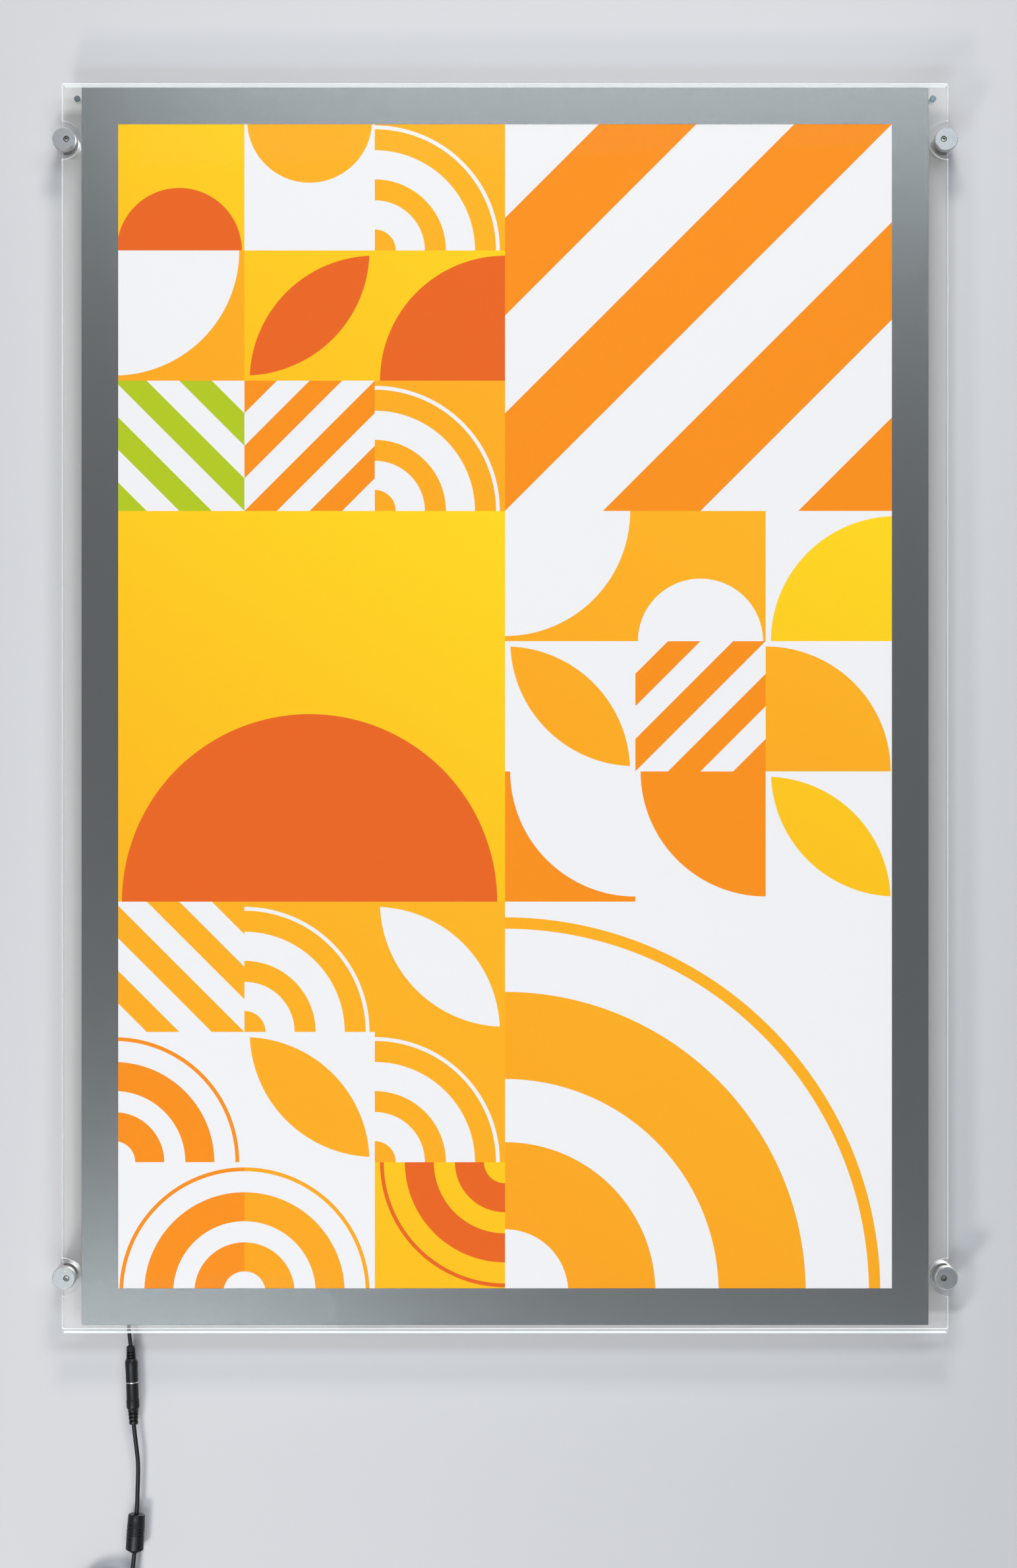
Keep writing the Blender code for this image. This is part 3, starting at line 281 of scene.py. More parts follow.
# The jack's mouth is finished with a thin ring, turned from brass and plated with nickel like
# its centre pin. It shows as a bright line between the jack and the plug.
RING_LINE = [
    (0.0274, 0.0031), (0.0274, 0.0048), (0.0275, 0.0049), (0.0281, 0.0049), (0.0282, 0.0048),
    (0.0282, 0.0031),
]  # fmt: skip
jack_ring = turned("jack_ring", RING_LINE)
hang(jack_ring, JACK_TOP, CONNECTOR_TILT)
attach(jack_ring, "box")
nickel_plate = Finish("nickel_plate", Metallic=1.0)
handled = nickel_plate.noise(800.0)
nickel_plate.feed(
    Base_Color=nickel_plate.mix(handled, ink("c2c0ba"), ink("d8d6d0")),
    Roughness=between(0.16, 0.28, handled),
)
nickel_plate.dress(jack_ring, "jack_pin")

# The plug is the same black moulding on the lead's end: a plain nose, a grip that stands a
# little proud of it and a slotted strain relief. Its nickel barrel pushes up into the jack.
PLUG_LINE = [
    (0.0284, 0.00270), (0.0284, 0.00455), (0.0287, 0.00475), (0.0403, 0.00478), (0.0409, 0.00486),
    (0.0415, 0.00500), (0.0421, 0.00510), (0.0466, 0.00512), (0.0474, 0.00505), (0.0480, 0.00478),
    (0.0484, 0.00440), (0.0488, 0.00414), (0.0507, 0.00408), (0.0510, 0.00390), (0.0510, 0.00210),
    (0.0525, 0.00210), (0.0525, 0.00384), (0.0528, 0.00400), (0.0536, 0.00392), (0.0539, 0.00374),
    (0.0539, 0.00210), (0.0554, 0.00210), (0.0554, 0.00366), (0.0557, 0.00382), (0.0565, 0.00374),
    (0.0568, 0.00356), (0.0568, 0.00210), (0.0583, 0.00210), (0.0583, 0.00348), (0.0586, 0.00364),
    (0.0599, 0.00354), (0.0604, 0.00335), (0.0607, 0.00300), (0.0607, 0.00190), (0.0600, 0.00190),
]  # fmt: skip
PLUG_SLOTS = [
    (0.0510, 0.0525, 0.00210, 0.0038),
    (0.0539, 0.0554, 0.00210, 0.0036),
    (0.0568, 0.0583, 0.00210, 0.0034),
]
plug = turned("lead_plug", PLUG_LINE, PLUG_SLOTS)
hang(plug, JACK_TOP, CONNECTOR_TILT)
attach(plug, "plug")
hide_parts("dc_plug")
black_pvc.dress(plug)
nickel_plate.dress("plug_barrel")

# The ferrite bead is a sleeve of ferrite in a black shell, with three fine rings round its
# middle, two ejector dimples and a tapered foot. It's moulded onto the lead.
BEAD_TOP = Vector((0.00605, -0.0110, -0.1648))
BEAD_TILT = math.radians(-3.45)
BEAD_LINE = [
    (0.0020, 0.00200), (0.0000, 0.00200), (0.0000, 0.00570), (0.0001, 0.00605), (0.0004, 0.00635),
    (0.0008, 0.00653), (0.0014, 0.00660), (0.0020, 0.00662), (0.0022, 0.00640), (0.0024, 0.00640),
    (0.0026, 0.00664), (0.0098, 0.00682), (0.0101, 0.00696), (0.0104, 0.00696), (0.0106, 0.00648),
    (0.0110, 0.00648), (0.0112, 0.00684), (0.0123, 0.00685), (0.0126, 0.00699), (0.0130, 0.00699),
    (0.0132, 0.00651), (0.0136, 0.00651), (0.0138, 0.00688), (0.0149, 0.00689), (0.0152, 0.00702),
    (0.0156, 0.00702), (0.0158, 0.00654), (0.0162, 0.00654), (0.0164, 0.00692), (0.0270, 0.00700),
    (0.0276, 0.00694), (0.0280, 0.00672), (0.0301, 0.00320), (0.0304, 0.00270), (0.0304, 0.00200),
    (0.0290, 0.00200),
]  # fmt: skip
DIMPLE_RADIUS = 0.0007
DIMPLE_DEPTH = 0.0010
DIMPLE_SIDES = 24
DIMPLE_REACH = 0.00694  # from the bead's axis to the middle of the cutter
DIMPLES_DOWN = (0.0079, 0.0192)
DIMPLE_TURN = math.radians(-34)  # from the front towards the left
dimple_right = DIMPLE_REACH * math.sin(DIMPLE_TURN)
dimple_out = -DIMPLE_REACH * math.cos(DIMPLE_TURN)
bead = turned("lead_bead", BEAD_LINE)
for dimple_down in DIMPLES_DOWN:
    bpy.ops.object.select_all(action="DESELECT")
    bpy.ops.mesh.primitive_cylinder_add(
        vertices=DIMPLE_SIDES,
        radius=DIMPLE_RADIUS,
        depth=2 * DIMPLE_DEPTH,
        location=(dimple_right, dimple_out, -dimple_down),
        rotation=(math.pi / 2, 0, DIMPLE_TURN),
    )
    cutter = bpy.context.object
    pick(bead)
    sink = bead.modifiers.new("dimple", "BOOLEAN")
    sink.object = cutter
    bpy.ops.object.modifier_apply(modifier="dimple")
    bpy.data.objects.remove(cutter)
hang(bead, BEAD_TOP, BEAD_TILT)
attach(bead, "plug")
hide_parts("ferrite_bead")
black_pvc.dress(bead)

# The pigtail is a thin black PVC cable. It comes out of the grommet behind the panel's lower
# left corner, turns down along the wall and ends in the inline jack.
PIGTAIL_DIAMETER = 0.0031
PIGTAIL_ROUTE = [
    (0.0000, -0.0219, 0.0000),
    (0.0000, -0.0190, 0.0000),
    (0.0000, -0.0158, -0.0001),
    (0.0000, -0.0128, -0.0014),
    (-0.0001, -0.0109, -0.0043),
    (-0.0002, -0.0104, -0.0085),
    (-0.0003, -0.0107, -0.0150),
    (0.0001, -0.0110, -0.0210),
    (0.0007, -0.0110, -0.0270),
]
ROUTE_POINTS = 12  # worked out on the curve from one point of a route to the next
CORD_ROUNDING = 8


def smooth_line(points, step):
    """Points a step apart on a smooth curve through a route's own points."""
    route = [Vector(p) for p in points]
    ends = [2 * route[0] - route[1], *route, 2 * route[-1] - route[-2]]
    fine = []
    for a, b, c, d in zip(ends, ends[1:], ends[2:], ends[3:]):
        for i in range(ROUTE_POINTS):
            t = i / ROUTE_POINTS
            curve = 2 * b + (c - a) * t + (2 * a - 5 * b + 4 * c - d) * t**2
            fine.append((curve + (3 * b - a - 3 * c + d) * t**3) / 2)
    fine.append(route[-1])
    length = sum((b - a).length for a, b in zip(fine, fine[1:]))
    count = max(2, round(length / step))
    line, walked, wanted = [fine[0]], 0, 1
    for a, b in zip(fine, fine[1:]):
        span = (b - a).length
        while wanted < count and walked + span >= wanted * length / count:
            line.append(a.lerp(b, (wanted * length / count - walked) / span))
            wanted += 1
        walked += span
    return [*line, fine[-1]]


def cord_along(name, line, diameter):
    """A round cord, and the points that its centre follows, from a line off the cable's exit."""
    path = [CABLE_EXIT + place for place in line]
    drawn = bpy.data.curves.new(name, "CURVE")
    drawn.dimensions = "3D"
    drawn.bevel_depth = diameter / 2
    drawn.bevel_resolution = CORD_ROUNDING
    drawn.use_fill_caps = True
    spline = drawn.splines.new("POLY")
    spline.points.add(len(path) - 1)
    spline.use_smooth = True
    for point, place in zip(spline.points, path):
        point.co = (*place, 1)
    made = bpy.data.objects.new(name, drawn)
    bpy.context.scene.collection.objects.link(made)
    pick(made)
    bpy.ops.object.convert(target="MESH")
    return bpy.context.object, path


pigtail_end = down_the_connector(-SEAT_GAP)
pigtail, pigtail_path = cord_along(
    "pigtail_cable",
    smooth_line([*PIGTAIL_ROUTE, pigtail_end], PIGTAIL_DIAMETER / 2),
    PIGTAIL_DIAMETER,
)
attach(pigtail, "box")
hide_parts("pigtail")
black_pvc.dress(pigtail)

# The supply lead hangs from the plug through the ferrite bead, close to the wall. What the
# picture doesn't show of its metre and a half is wound in a tied coil, and ends at the adapter.
LEAD_DIAMETER = 0.0034
LEAD_START = 0.0601
LEAD_ROUTE = [
    (0.0046, -0.0110, -0.1020),
    (0.0058, -0.0110, -0.1120),
    (0.0070, -0.0110, -0.1230),
    (0.0072, -0.0110, -0.1330),
    (0.0068, -0.0110, -0.1460),
    (0.0065, -0.0110, -0.1570),
    (0.0061, -0.0110, -0.1635),
    (0.0051, -0.0110, -0.1800),
    (0.0041, -0.0110, -0.1965),
    (0.0035, -0.0110, -0.2030),
    (0.0030, -0.0110, -0.2090),
    (0.0029, -0.0110, -0.2220),
    (0.0029, -0.0110, -0.2350),
]
COIL_LAYERS = 4
COIL_TURNS = 2.75  # in a layer
COIL_RADIUS = 0.0190  # at the middle of the turns
COIL_PITCH = 0.0039
COIL_POINTS = 48  # on each turn
TAIL_LENGTH = 0.0300  # from the coil to the adapter's relief
layer_angle = math.tau * COIL_TURNS
coil_spread = COIL_PITCH * COIL_TURNS
coil_outer = COIL_RADIUS + coil_spread / 2
lead_top = down_the_connector(LEAD_START)
coil_top = Vector(LEAD_ROUTE[-1]) - Vector((0, 0, SEAT_GAP))
coil_centre = coil_top - Vector((coil_outer, 0, LEAD_DIAMETER))


def coil_point(angle):
    """The lead's centre after an angle of winding, clockwise as seen from the front."""
    layer = angle / layer_angle
    into = layer % 2
    inwards = into if into < 1 else 2 - into
    radius = coil_outer - coil_spread * inwards
    out = 0
    for climb in range(1, COIL_LAYERS):
        share = min(1, max(0, (angle - climb * layer_angle) / math.pi + 0.5))
        out += COIL_PITCH * share * share * (3 - 2 * share)
    return coil_centre + Vector((radius * math.cos(angle), -out, -radius * math.sin(angle)))


coil_angle = COIL_LAYERS * layer_angle
coil_steps = round(COIL_POINTS * coil_angle / math.tau)
coil = [coil_point(coil_angle * i / coil_steps) for i in range(coil_steps + 1)]
tail_top = coil[-1] - Vector((0, 0, LEAD_DIAMETER))
tail_end = tail_top - Vector((0, 0, SEAT_GAP + TAIL_LENGTH))
lead, lead_path = cord_along(
    "supply_lead_cable",
    [*smooth_line([lead_top, *LEAD_ROUTE], LEAD_DIAMETER / 2), coil_top, *coil, tail_top, tail_end],
    LEAD_DIAMETER,
)
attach(lead, "plug")
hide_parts("supply_lead", "lead_coil", "adapter_tail")
black_pvc.dress(lead, "coil_tie")

# The wall adapter's case is two black ABS shells, moulded with a fine spark-eroded grain and
# welded together. The lead enters through a PVC relief, and the blades are nickel-plated brass.
shell = Finish("black_shell")
spark = shell.noise(2200.0, detail=4.0)
shell.feed(
    Base_Color=shell.mix(spark, ink("17181a"), ink("212224")),
    Roughness=between(0.46, 0.60, spark),
)
shell.relief(spark, 0.00008)
shell.dress("adapter_case_rear", "adapter_case_front")
black_pvc.dress("adapter_relief")
nickel_plate.dress("adapter_blade_left", "adapter_blade_right")

# The wall bases and standoffs are turned from aluminium bar and bead-blasted to a satin grain on
# their faces. Their sides are painted lighter and their faces darker, as painted light and shade,
# with a painted highlight on the chamfers and painted glints on the grain. A base is screwed to
# the wall; its standoff slides over the spigot and grips the panel's edge.
STANDOFF_RIGHT = 0.3432
STANDOFF_UP = 0.443
CORNERS = ("top_left", "top_right", "bottom_left", "bottom_right")
LATHE_SCALE = 4500.0
PAINTED_GLINT_ABOVE = 0.64  # of the blasted grain
PAINTED_GLINT_SHARE = 0.15
LATHE_RELIEF = 0.2  # of the relief: the rest is the blasted grain
turned_aluminium = Finish("turned_aluminium", Metallic=1.0)
right, out, up = turned_aluminium.place()
facing = turned_aluminium.facing()
from_axis = ((abs(right) - STANDOFF_RIGHT) ** 2 + (abs(up) - STANDOFF_UP) ** 2) ** 0.5
across_lathe = between(out, from_axis, facing > 0.7)
lathe_lines = turned_aluminium.node(
    "TexNoise",
    {"noise_dimensions": "1D"},
    {"W": across_lathe, "Scale": LATHE_SCALE, "Detail": 3.0},
)
blasted = turned_aluminium.noise(1700.0, detail=4.0)
# painted glints: bright specks of painted highlight on the blasted grain
painted_glint = (blasted > PAINTED_GLINT_ABOVE) * PAINTED_GLINT_SHARE
is_chamfer = (facing > 0.5) * (facing < 0.9)
satin = between(0.35, 0.44, lathe_lines)
# painted shade on the faces and painted light on the sides, not a difference in the metal
painted_shade_face_colour = turned_aluminium.mix(blasted, ink("6e6f70"), ink("8e8e8e"))
painted_light_side_colour = turned_aluminium.mix(blasted, ink("acadae"), ink("cdcdcd"))
metal_colour = turned_aluminium.mix(facing > 0.5, painted_light_side_colour, painted_shade_face_colour)
metal_colour = turned_aluminium.mix(painted_glint, metal_colour, ink("e6e6e4"))
# the chamfers' pale colour is a painted highlight
turned_aluminium.feed(
    Base_Color=turned_aluminium.mix(is_chamfer, metal_colour, ink("dcdddd")),
    Roughness=between(satin, 0.3, is_chamfer),
)
turned_aluminium.relief(between(blasted, lathe_lines, LATHE_RELIEF), 0.00003)
turned_aluminium.dress(*[f"{part}_{c}" for part in ("wall_base", "standoff") for c in CORNERS])

# Each standoff has a set screw of zinc-plated steel with a hex socket. It is turned in from
# the front, and holds the standoff on the panel.
screw_steel = Finish("screw_steel", Metallic=1.0)
zinc_bloom = screw_steel.noise(1800.0)
screw_steel.feed(
    Base_Color=screw_steel.mix(zinc_bloom, ink("67665f"), ink("8d8c85")),
    Roughness=between(0.24, 0.38, zinc_bloom),
)
screw_steel.dress(*[f"set_screw_{c}" for c in CORNERS])

# A small pad of natural nylon, pressed onto each screw's tip, bears on the panel so that the
# steel doesn't mark it.
nylon = Finish("nylon", Subsurface_Weight=0.1)
nylon_grain = nylon.noise(900.0)
nylon.feed(
    Base_Color=nylon.mix(nylon_grain, ink("e0dfd6"), ink("ecebe4")),
    Roughness=between(0.42, 0.55, nylon_grain),
)
nylon.dress(*[f"pressure_pad_{c}" for c in CORNERS])

# The back panel is 10 mm clear cast acrylic with flame-polished edges, which carry a painted
# highlight and a painted glow. Its front is routed out to hold the lit sheets; the light guide is
# the same plastic.
PRINT_HALF_WIDTH = 0.3301
PRINT_HALF_HEIGHT = 0.4825
PRINT_UP = 0.002
SIDE_HALF_WIDTH = 0.3444  # an edge past this is a sheet's side
CUTOUT_HALF_HEIGHT = 0.480  # an edge nearer the middle than this is a notch's or a hole's
PANEL_BRIGHT_FROM = -0.0250  # the panel's side edges show their painted highlight and glow only in front of this
CLEAR_ALPHA = 0.07
GRAZING_ALPHA = 0.2
EDGE_ALPHA = 0.88
DIM_EDGE_ALPHA = 0.34
CUTOUT_CLEARNESS = 0.35  # how much of an edge's alpha a notch or a hole lacks
CUTOUT_DIMNESS = 0.5  # and of its painted glow
PAINTED_LEVEL_GLOW = (0.50, 0.525, 0.53)  # painted glow on the upper and lower edges
PAINTED_SIDE_GLOW = (0.24, 0.27, 0.275)
PAINTED_MARGIN_GLOW = (0.20, 0.19, 0.18)  # painted glow on the faces beside the lit middle
NO_GLOW = (0, 0, 0)


def clear_sheet(name, bright_from):
    """Clear acrylic: faint where it's looked through, clearest in the lit middle, with a faint
    painted glow on its faces beside it. Its edges carry a painted highlight and a painted glow; the
    side edges only in front of a distance from the wall."""
    made = Finish(name, IOR=1.49, Emission_Strength=1.0)
    right, out, up = made.place()
    is_edge = made.facing() < 0.6
    is_side = abs(right) > SIDE_HALF_WIDTH
    is_dim = is_side * (out > bright_from)
    is_cutout = (1 - is_side) * (abs(up) < CUTOUT_HALF_HEIGHT)
    normal = made.node("TexCoord", {}, {}, "Normal")
    is_level = abs(made.node("SeparateXYZ", {}, {0: normal}, 2)) > 0.7
    lit = (abs(right) < PRINT_HALF_WIDTH) * (abs(up - PRINT_UP) < PRINT_HALF_HEIGHT)
    grazing = made.node("LayerWeight", {}, {"Blend": 0.35}, "Fresnel")
    flat_alpha = (1 - lit) * CLEAR_ALPHA + grazing * GRAZING_ALPHA
    edge_alpha = between(EDGE_ALPHA, DIM_EDGE_ALPHA, is_dim)
    edge_alpha = edge_alpha * (1 - is_cutout * CUTOUT_CLEARNESS)
    painted_edge_glow = made.mix(is_level, PAINTED_SIDE_GLOW, PAINTED_LEVEL_GLOW)
    painted_edge_glow = made.mix(is_cutout * CUTOUT_DIMNESS, painted_edge_glow, NO_GLOW)
    painted_edge_glow = made.mix(is_dim, painted_edge_glow, NO_GLOW)
    painted_flat_glow = made.mix(lit, PAINTED_MARGIN_GLOW, NO_GLOW)
    # The edges' pale colour is a painted highlight, and both emissions are painted glow.
    made.feed(
        Base_Color=made.mix(is_edge, ink("b6b2ac"), ink("e6eff0")),
        Roughness=between(0.03, 0.12, is_edge * made.noise(25.0)),
        Alpha=between(flat_alpha, edge_alpha, is_edge),
        Emission_Color=made.mix(is_edge, painted_flat_glow, painted_edge_glow),
    )
    return made


clear_sheet("clear_panel", PANEL_BRIGHT_FROM).dress("back_panel", "light_guide")

# The reflector is a matt white film behind the light guide, and the diffuser an opal sheet in
# front of it. Both are laid loose in the panel's pocket.
white_sheet = Finish("white_sheet")
sheet_grain = white_sheet.noise(500.0)
white_sheet.feed(
    Base_Color=white_sheet.mix(sheet_grain, ink("eceef0"), ink("f4f5f6")),
    Roughness=between(0.50, 0.62, sheet_grain),
)
white_sheet.relief(sheet_grain, 0.00001)
white_sheet.dress("reflector", "diffuser")

# Two blocks of white closed-cell foam, stuck to the pocket's floor, carry the light guide's
# lower edge.
foam = Finish("white_foam")
foam_place = foam.node("TexCoord", {}, {}, "Object")
cells = foam.node("TexVoronoi", {}, {"Vector": foam_place, "Scale": 900.0})
foam.feed(
    Base_Color=foam.mix(cells, ink("dcdcd6"), ink("f0f0ec")),
    Roughness=between(0.85, 0.97, cells),
)
foam.relief(cells, 0.00025)
foam.dress("guide_block_left", "guide_block_right")

# A channel of extruded aluminium, cut to length, runs along each long edge of the guide and
# holds its LED board. It has fine die lines along it.
extruded_aluminium = Finish("extruded_aluminium", Metallic=1.0)
die_lines = extruded_aluminium.noise(2200.0, stretch=(1, 1, 0.004))
extruded_aluminium.feed(
    Base_Color=extruded_aluminium.mix(die_lines, ink("b4b6b8"), ink("cfd0d2")),
    Roughness=between(0.28, 0.40, die_lines),
)
extruded_aluminium.relief(die_lines, 0.00002)
extruded_aluminium.dress("led_rail_left", "led_rail_right")

# The LEDs are soldered in a row on a narrow board with white solder mask, and light the guide
# through its edge. Their lenses are warm yellow, with a pair of plated pads between two.
BOARD_HALF = 0.459
LED_COUNT = 28
LED_PITCH = 2 * BOARD_HALF / LED_COUNT
LED_HALF_LENGTH = 0.0020
LED_FACE = 0.3205  # the LEDs stand on the board's side nearer the middle than this
PADS = (0.0024, 0.0042)  # from an LED's middle to its pads' near and far ends
led_board = Finish("led_board")
right, out, up = led_board.place()
along_pitch = led_board.node(
    "Math", {"operation": "PINGPONG"}, {0: up + BOARD_HALF - LED_PITCH / 2, 1: LED_PITCH / 2}
)
on_led = (abs(right) < LED_FACE) * (along_pitch < LED_HALF_LENGTH)
pad_row = (along_pitch > PADS[0]) * (along_pitch < PADS[1])
mask_grain = led_board.noise(700.0)
board_colour = led_board.mix(mask_grain, ink("e8eae6"), ink("f2f3f0"))
board_colour = led_board.mix(pad_row, board_colour, ink("c8b48c"))
board_colour = led_board.mix(on_led, board_colour, ink("f2dc7a"))
led_board.feed(
    Base_Color=board_colour,
    Roughness=between(0.45, 0.3, on_led),
    Emission_Color=led_board.mix(on_led, NO_GLOW, ink("fff3d0")),
    Emission_Strength=1.0,
)
led_board.dress("led_board_left", "led_board_right")

# The poster is a 24 by 36 inch translucent print of plain coloured tiles: quarter rounds,
# leaves, arcs and stripes on white. The light behind it shows its inks at full strength.
POSTER_WIDTH = 0.6096
POSTER_HEIGHT = 0.9144
TILE = POSTER_WIDTH / 6
BIG_TILE = 3 * TILE
SMALL_SEED = 3.0
BIG_SEED = 8.0
ROUND_RADIUS = 0.96  # of a quarter round, as a share of its tile; a leaf is two of them crossed
HALF_RADIUS = 0.48
RINGS = 2.6  # of arcs and gaps over a tile
GAP_SHARE = 0.42  # of a ring
INK_WHITE = ink("f0eff1")
INK_AMBER = ink("fdb51c")
INK_DEEP = ink("f98f12")
INK_YELLOW = ink("ffd615")
INK_ORANGE = ink("e8641a")
INK_GREEN = ink("b2c61c")
DEEPENING = 0.55  # how far amber goes towards the deep ink, down and to the left
AMBER_ABOVE = 0.86  # an ink's red less its blue
LIT_SHARE = 0.62  # of the print's brightness: it comes from behind
poster = Finish("backlit_print", Roughness=0.5, Specular_IOR_Level=0.05)
right, out, up = poster.place()
across = right + POSTER_WIDTH / 2
upwards = up + (POSTER_HEIGHT / 2 - PRINT_UP)


def tiles(size, seed):
    """A layer of square tiles, each drawn by chance from five plain figures in two inks."""
    column = (across / size).math("FLOOR")
    row = (upwards / size).math("FLOOR")
    x = (across / size) - column
    y = (upwards / size) - row
    cell = poster.node("CombineXYZ", {}, {0: column, 1: row, 2: seed})
    colour = poster.node("TexWhiteNoise", {"noise_dimensions": "3D"}, {"Vector": cell}, "Color")
    turn_x, turn_y, figure = [
        poster.node("SeparateColor", {}, {0: colour}, channel) for channel in range(3)
    ]
    chance = poster.node("TexWhiteNoise", {"noise_dimensions": "3D"}, {"Vector": cell}, "Value")
    x = between(x, 1 - x, turn_x > 0.5)
    y = between(y, 1 - y, turn_y > 0.5)
    near = (x * x + y * y) ** 0.5
    far = ((1 - x) ** 2 + (1 - y) ** 2) ** 0.5
    quarter = near < ROUND_RADIUS
    leaf = quarter * (far < ROUND_RADIUS)
    arcs = quarter * ((near * RINGS).math("FRACT") > GAP_SHARE)
    half = ((x - 0.5) ** 2 + y * y) ** 0.5 < HALF_RADIUS
    shown = ((x + y) * 2).math("FRACT") > 0.5  # stripes, unless it's one of the others
    for limit, drawn in ((0.86, half), (0.66, arcs), (0.46, leaf), (0.24, quarter)):
        shown = between(shown, drawn, figure < limit)
    grounds = [
        (0.0, INK_WHITE), (0.24, INK_AMBER), (0.40, INK_WHITE), (0.55, INK_YELLOW),
        (0.66, INK_WHITE), (0.78, INK_DEEP), (0.88, INK_GREEN), (0.94, INK_WHITE),
    ]
    figures = [
        (0.0, INK_AMBER), (0.24, INK_WHITE), (0.40, INK_DEEP), (0.55, INK_ORANGE),
        (0.66, INK_YELLOW), (0.78, INK_WHITE), (0.88, INK_WHITE), (0.94, INK_GREEN),
    ]
    return poster.mix(shown, poster.steps(chance, grounds), poster.steps(chance, figures))


small = tiles(TILE, SMALL_SEED)
big = tiles(BIG_TILE, BIG_SEED)
big_sum = (across / BIG_TILE).math("FLOOR") + (upwards / BIG_TILE).math("FLOOR")
is_big = (big_sum * 0.5).math("FRACT") > 0.25
print_colour = poster.mix(is_big, small, big)
redness, blueness = [poster.node("SeparateColor", {}, {0: print_colour}, i) for i in (0, 2)]
is_amber = redness - blueness > AMBER_ABOVE
over_tile, up_tile = [(place / BIG_TILE).math("FRACT") for place in (across, upwards)]
deepening = 1 - between(up_tile, over_tile, 0.4)
print_colour = poster.mix(is_amber * deepening * DEEPENING, print_colour, INK_DEEP)
poster.feed(
    Base_Color=poster.mix(1.0, print_colour, (1 - LIT_SHARE,) * 3, blend="MULTIPLY"),
    Emission_Color=poster.mix(1.0, print_colour, (LIT_SHARE,) * 3, blend="MULTIPLY"),
    Emission_Strength=1.0,
)
poster.dress("poster")

# The front cover is a 4 mm clear acrylic sheet, laser-cut with a round notch for each standoff.
# Magnets hold it to the panel, and it lifts straight off to change the poster.
COVER_BRIGHT_FROM = 0.0  # so its side edges show their painted highlight and glow all the way
clear_sheet("clear_cover", COVER_BRIGHT_FROM).dress("front_cover")

# The grey border is silk-screened on the cover's rear face. It's seen through the acrylic, so
# it has the acrylic's gloss.
border_ink = Finish("border_ink", IOR=1.8)
ink_flake = border_ink.noise(1500.0)
border_ink.feed(
    Base_Color=border_ink.mix(ink_flake, ink("404242"), ink("464848")),
    Roughness=between(0.255, 0.275, ink_flake),
)
border_ink.dress("border_print")

# The magnets are nickel-plated neodymium discs: one pair is glued into the cover's upper
# corners, the other lies in blind holes of the panel behind it.
magnet_plate = Finish("magnet_plate", Metallic=1.0)
plating = magnet_plate.noise(1200.0)
# the discs' dark grey is painted shade on the nickel
magnet_plate.feed(
    Base_Color=magnet_plate.mix(plating, ink("3d454a"), ink("535b60")),
    Roughness=between(0.22, 0.34, plating),
)
for side in ("left", "right"):
    magnet_plate.dress(f"cover_magnet_{side}", f"back_magnet_{side}")

# The grommet is a soft black rubber bush in the panel's cable hole. The splice inside, where the
# pigtail meets the LED boards' two PVC wires, is covered with the same rubber.
rubber = Finish("black_rubber")
bloom = rubber.noise(1300.0)
rubber.feed(
    Base_Color=rubber.mix(bloom, ink("191919"), ink("262626")),
    Roughness=between(0.62, 0.80, bloom),
)
rubber.relief(bloom, 0.00004)
rubber.dress("cable_grommet", "wire_splice")
black_pvc.dress("link_wire_left", "link_wire_right")

# The wall is painted a pale grey, and the floor is the same. They aren't part of the light box.
# The wall shows only from the front, so that the box can be seen from behind.
WALL_INK = ink("c6c4c6")
ROOM_WIDTH = 9.0
WALL_HEIGHT = 7.0
FLOOR_DROP = 2.6


def plane(name, width, height, place, turn, paint):
    """A flat piece of the room, which isn't part of the object."""
    bpy.ops.object.select_all(action="DESELECT")
    bpy.ops.mesh.primitive_plane_add(size=1, location=place, rotation=(turn, 0, 0))
    made = bpy.context.object
    made.name = name
    made.scale = (width, height, 1)
    bpy.ops.object.transform_apply(location=True, rotation=True, scale=True)
    paint.dress(made)


wall_paint = Finish("wall_paint", Base_Color=WALL_INK, Roughness=0.9)
ray = wall_paint.tree.nodes.new("ShaderNodeLightPath").outputs
is_seen = sum(
    Signal(wall_paint, ray[f"Is {way} Ray"]) for way in ("Camera", "Glossy", "Transmission")
)
from_behind = wall_paint.node("NewGeometry", {}, {}, "Backfacing")
see_through = wall_paint.node("BsdfTransparent", {}, {})
painted = Signal(wall_paint, wall_paint.shader.outputs[0])
is_shown = is_seen * (1 - from_behind)
shown = wall_paint.node("MixShader", {}, {0: is_shown, 1: see_through, 2: painted})
wall_paint.tree.links.new(shown.socket, wall_paint.tree.nodes["Material Output"].inputs[0])
wall_middle = (0, 0, WALL_HEIGHT / 2 - FLOOR_DROP)
plane("wall", ROOM_WIDTH, WALL_HEIGHT, wall_middle, math.pi / 2, wall_paint)
floor_paint = Finish("floor_paint", Base_Color=WALL_INK, Roughness=0.9)
plane("floor", ROOM_WIDTH, ROOM_WIDTH, (0, 0, -FLOOR_DROP), 0, floor_paint)


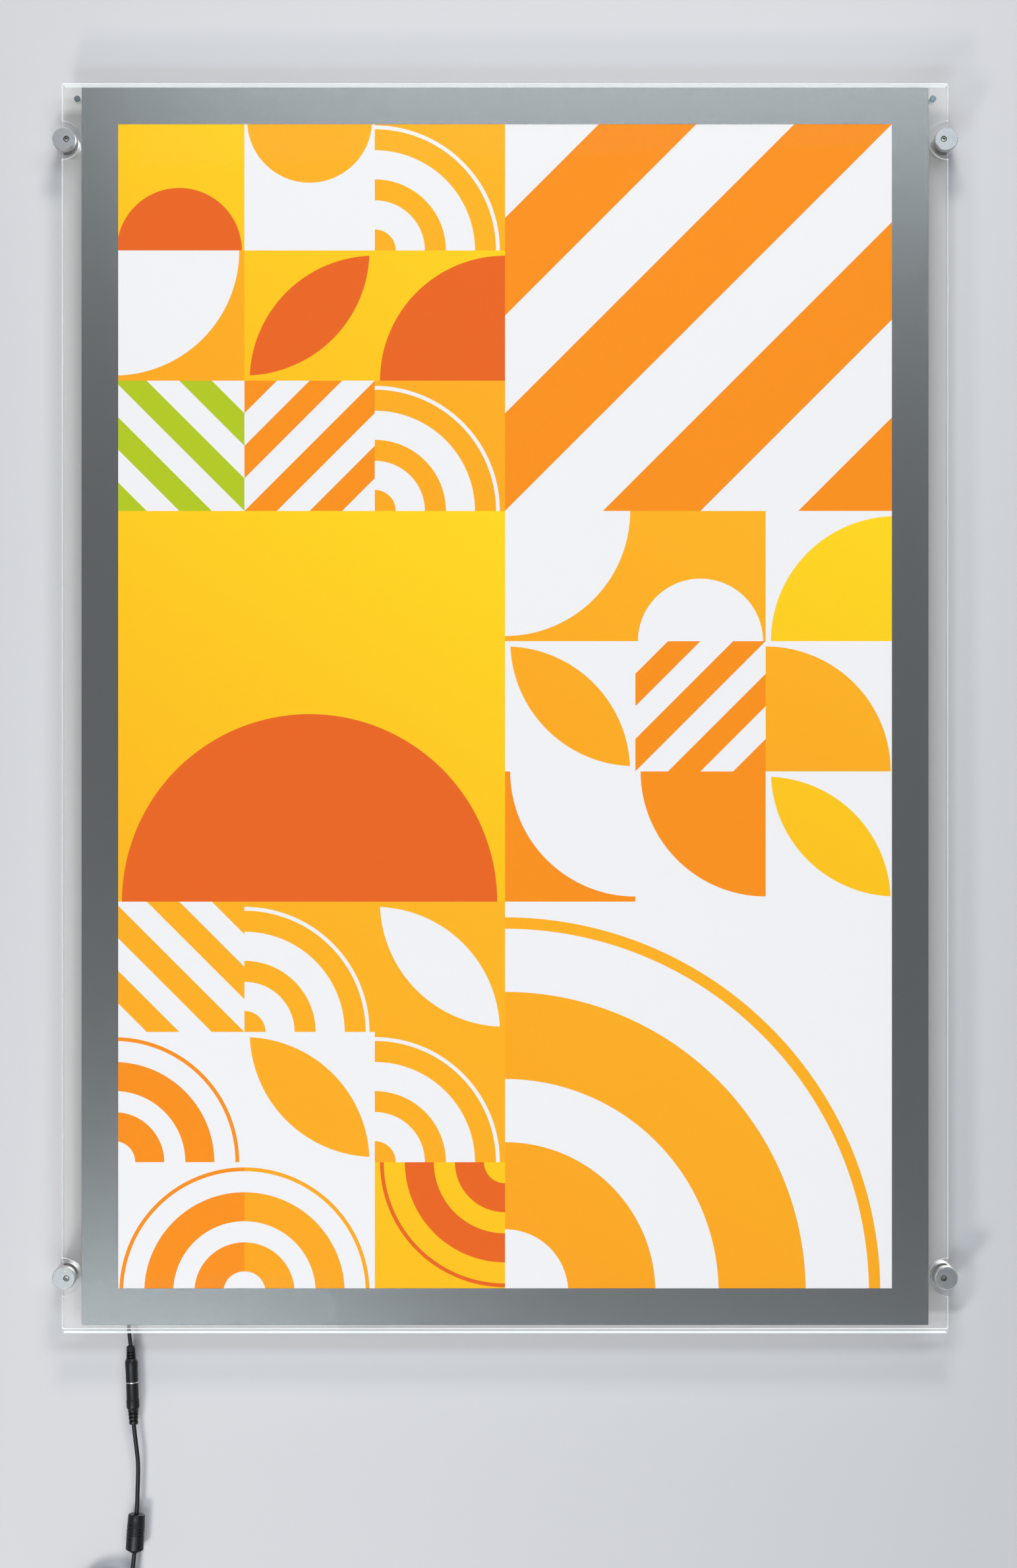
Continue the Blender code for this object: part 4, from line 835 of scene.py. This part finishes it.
# The light is a studio's. Three cool soft boxes stand level with the camera, where the border
# mirrors them. Warm ones above, low on the left and at the side cast the soft shadows, and one
# behind the wall lights the rear.
def soft_box(name, place, size, watts, colour):
    """A rectangular lamp that faces the middle of the light box."""
    data = bpy.data.lights.new(name, "AREA")
    data.shape = "RECTANGLE"
    data.size, data.size_y = size
    data.energy = watts
    data.color = colour
    made = bpy.data.objects.new(name, data)
    made.location = place
    made.rotation_euler = (-Vector(place)).to_track_quat("-Z", "Y").to_euler()
    bpy.context.scene.collection.objects.link(made)


DAYLIGHT = (0.84, 0.95, 1.0)
WARM_LIGHT = (1.0, 0.965, 0.925)
soft_box("top", (0.36, -2.4, 1.22), (2.0, 0.6), 30.5, DAYLIGHT)
soft_box("low", (-0.68, -2.3, -1.06), (0.9, 0.5), 14.5, DAYLIGHT)
soft_box("bounce", (0.20, -2.3, -1.45), (1.1, 0.9), 11, DAYLIGHT)
soft_box("crown", (0.1, -1.4, 1.7), (0.6, 0.4), 21, WARM_LIGHT)
soft_box("lamp", (-0.80, -1.4, -1.5), (0.4, 0.4), 17, WARM_LIGHT)
soft_box("side", (-2.8, -1.25, 0.3), (1.4, 1.8), 4, WARM_LIGHT)
soft_box("rear", (0.8, 2.6, 1.0), (1.4, 1.0), 75, (1, 1, 1))

# The room round the studio is a plain grey where it's seen or mirrored, and adds a weak blue
# light from all round.
ROOM_LIGHT = (0.034, 0.043, 0.064)
ROOM_INK = ink("b2b4ba")
world = bpy.data.worlds.new("room")
bpy.context.scene.world = world
world.use_nodes = True
room = world.node_tree
ray = room.nodes.new("ShaderNodeLightPath").outputs
is_seen = room.nodes.new("ShaderNodeMath")
is_seen.operation = "MAXIMUM"
room.links.new(ray["Is Camera Ray"], is_seen.inputs[0])
room.links.new(ray["Is Glossy Ray"], is_seen.inputs[1])
room_light = room.nodes["Background"]
room_light.inputs["Color"].default_value = (*ROOM_LIGHT, 1)
room_colour = room.nodes.new("ShaderNodeBackground")
room_colour.inputs["Color"].default_value = (*ROOM_INK, 1)
either = room.nodes.new("ShaderNodeMixShader")
room.links.new(is_seen.outputs[0], either.inputs[0])
room.links.new(room_light.outputs[0], either.inputs[1])
room.links.new(room_colour.outputs[0], either.inputs[2])
room.links.new(either.outputs[0], room.nodes["World Output"].inputs["Surface"])
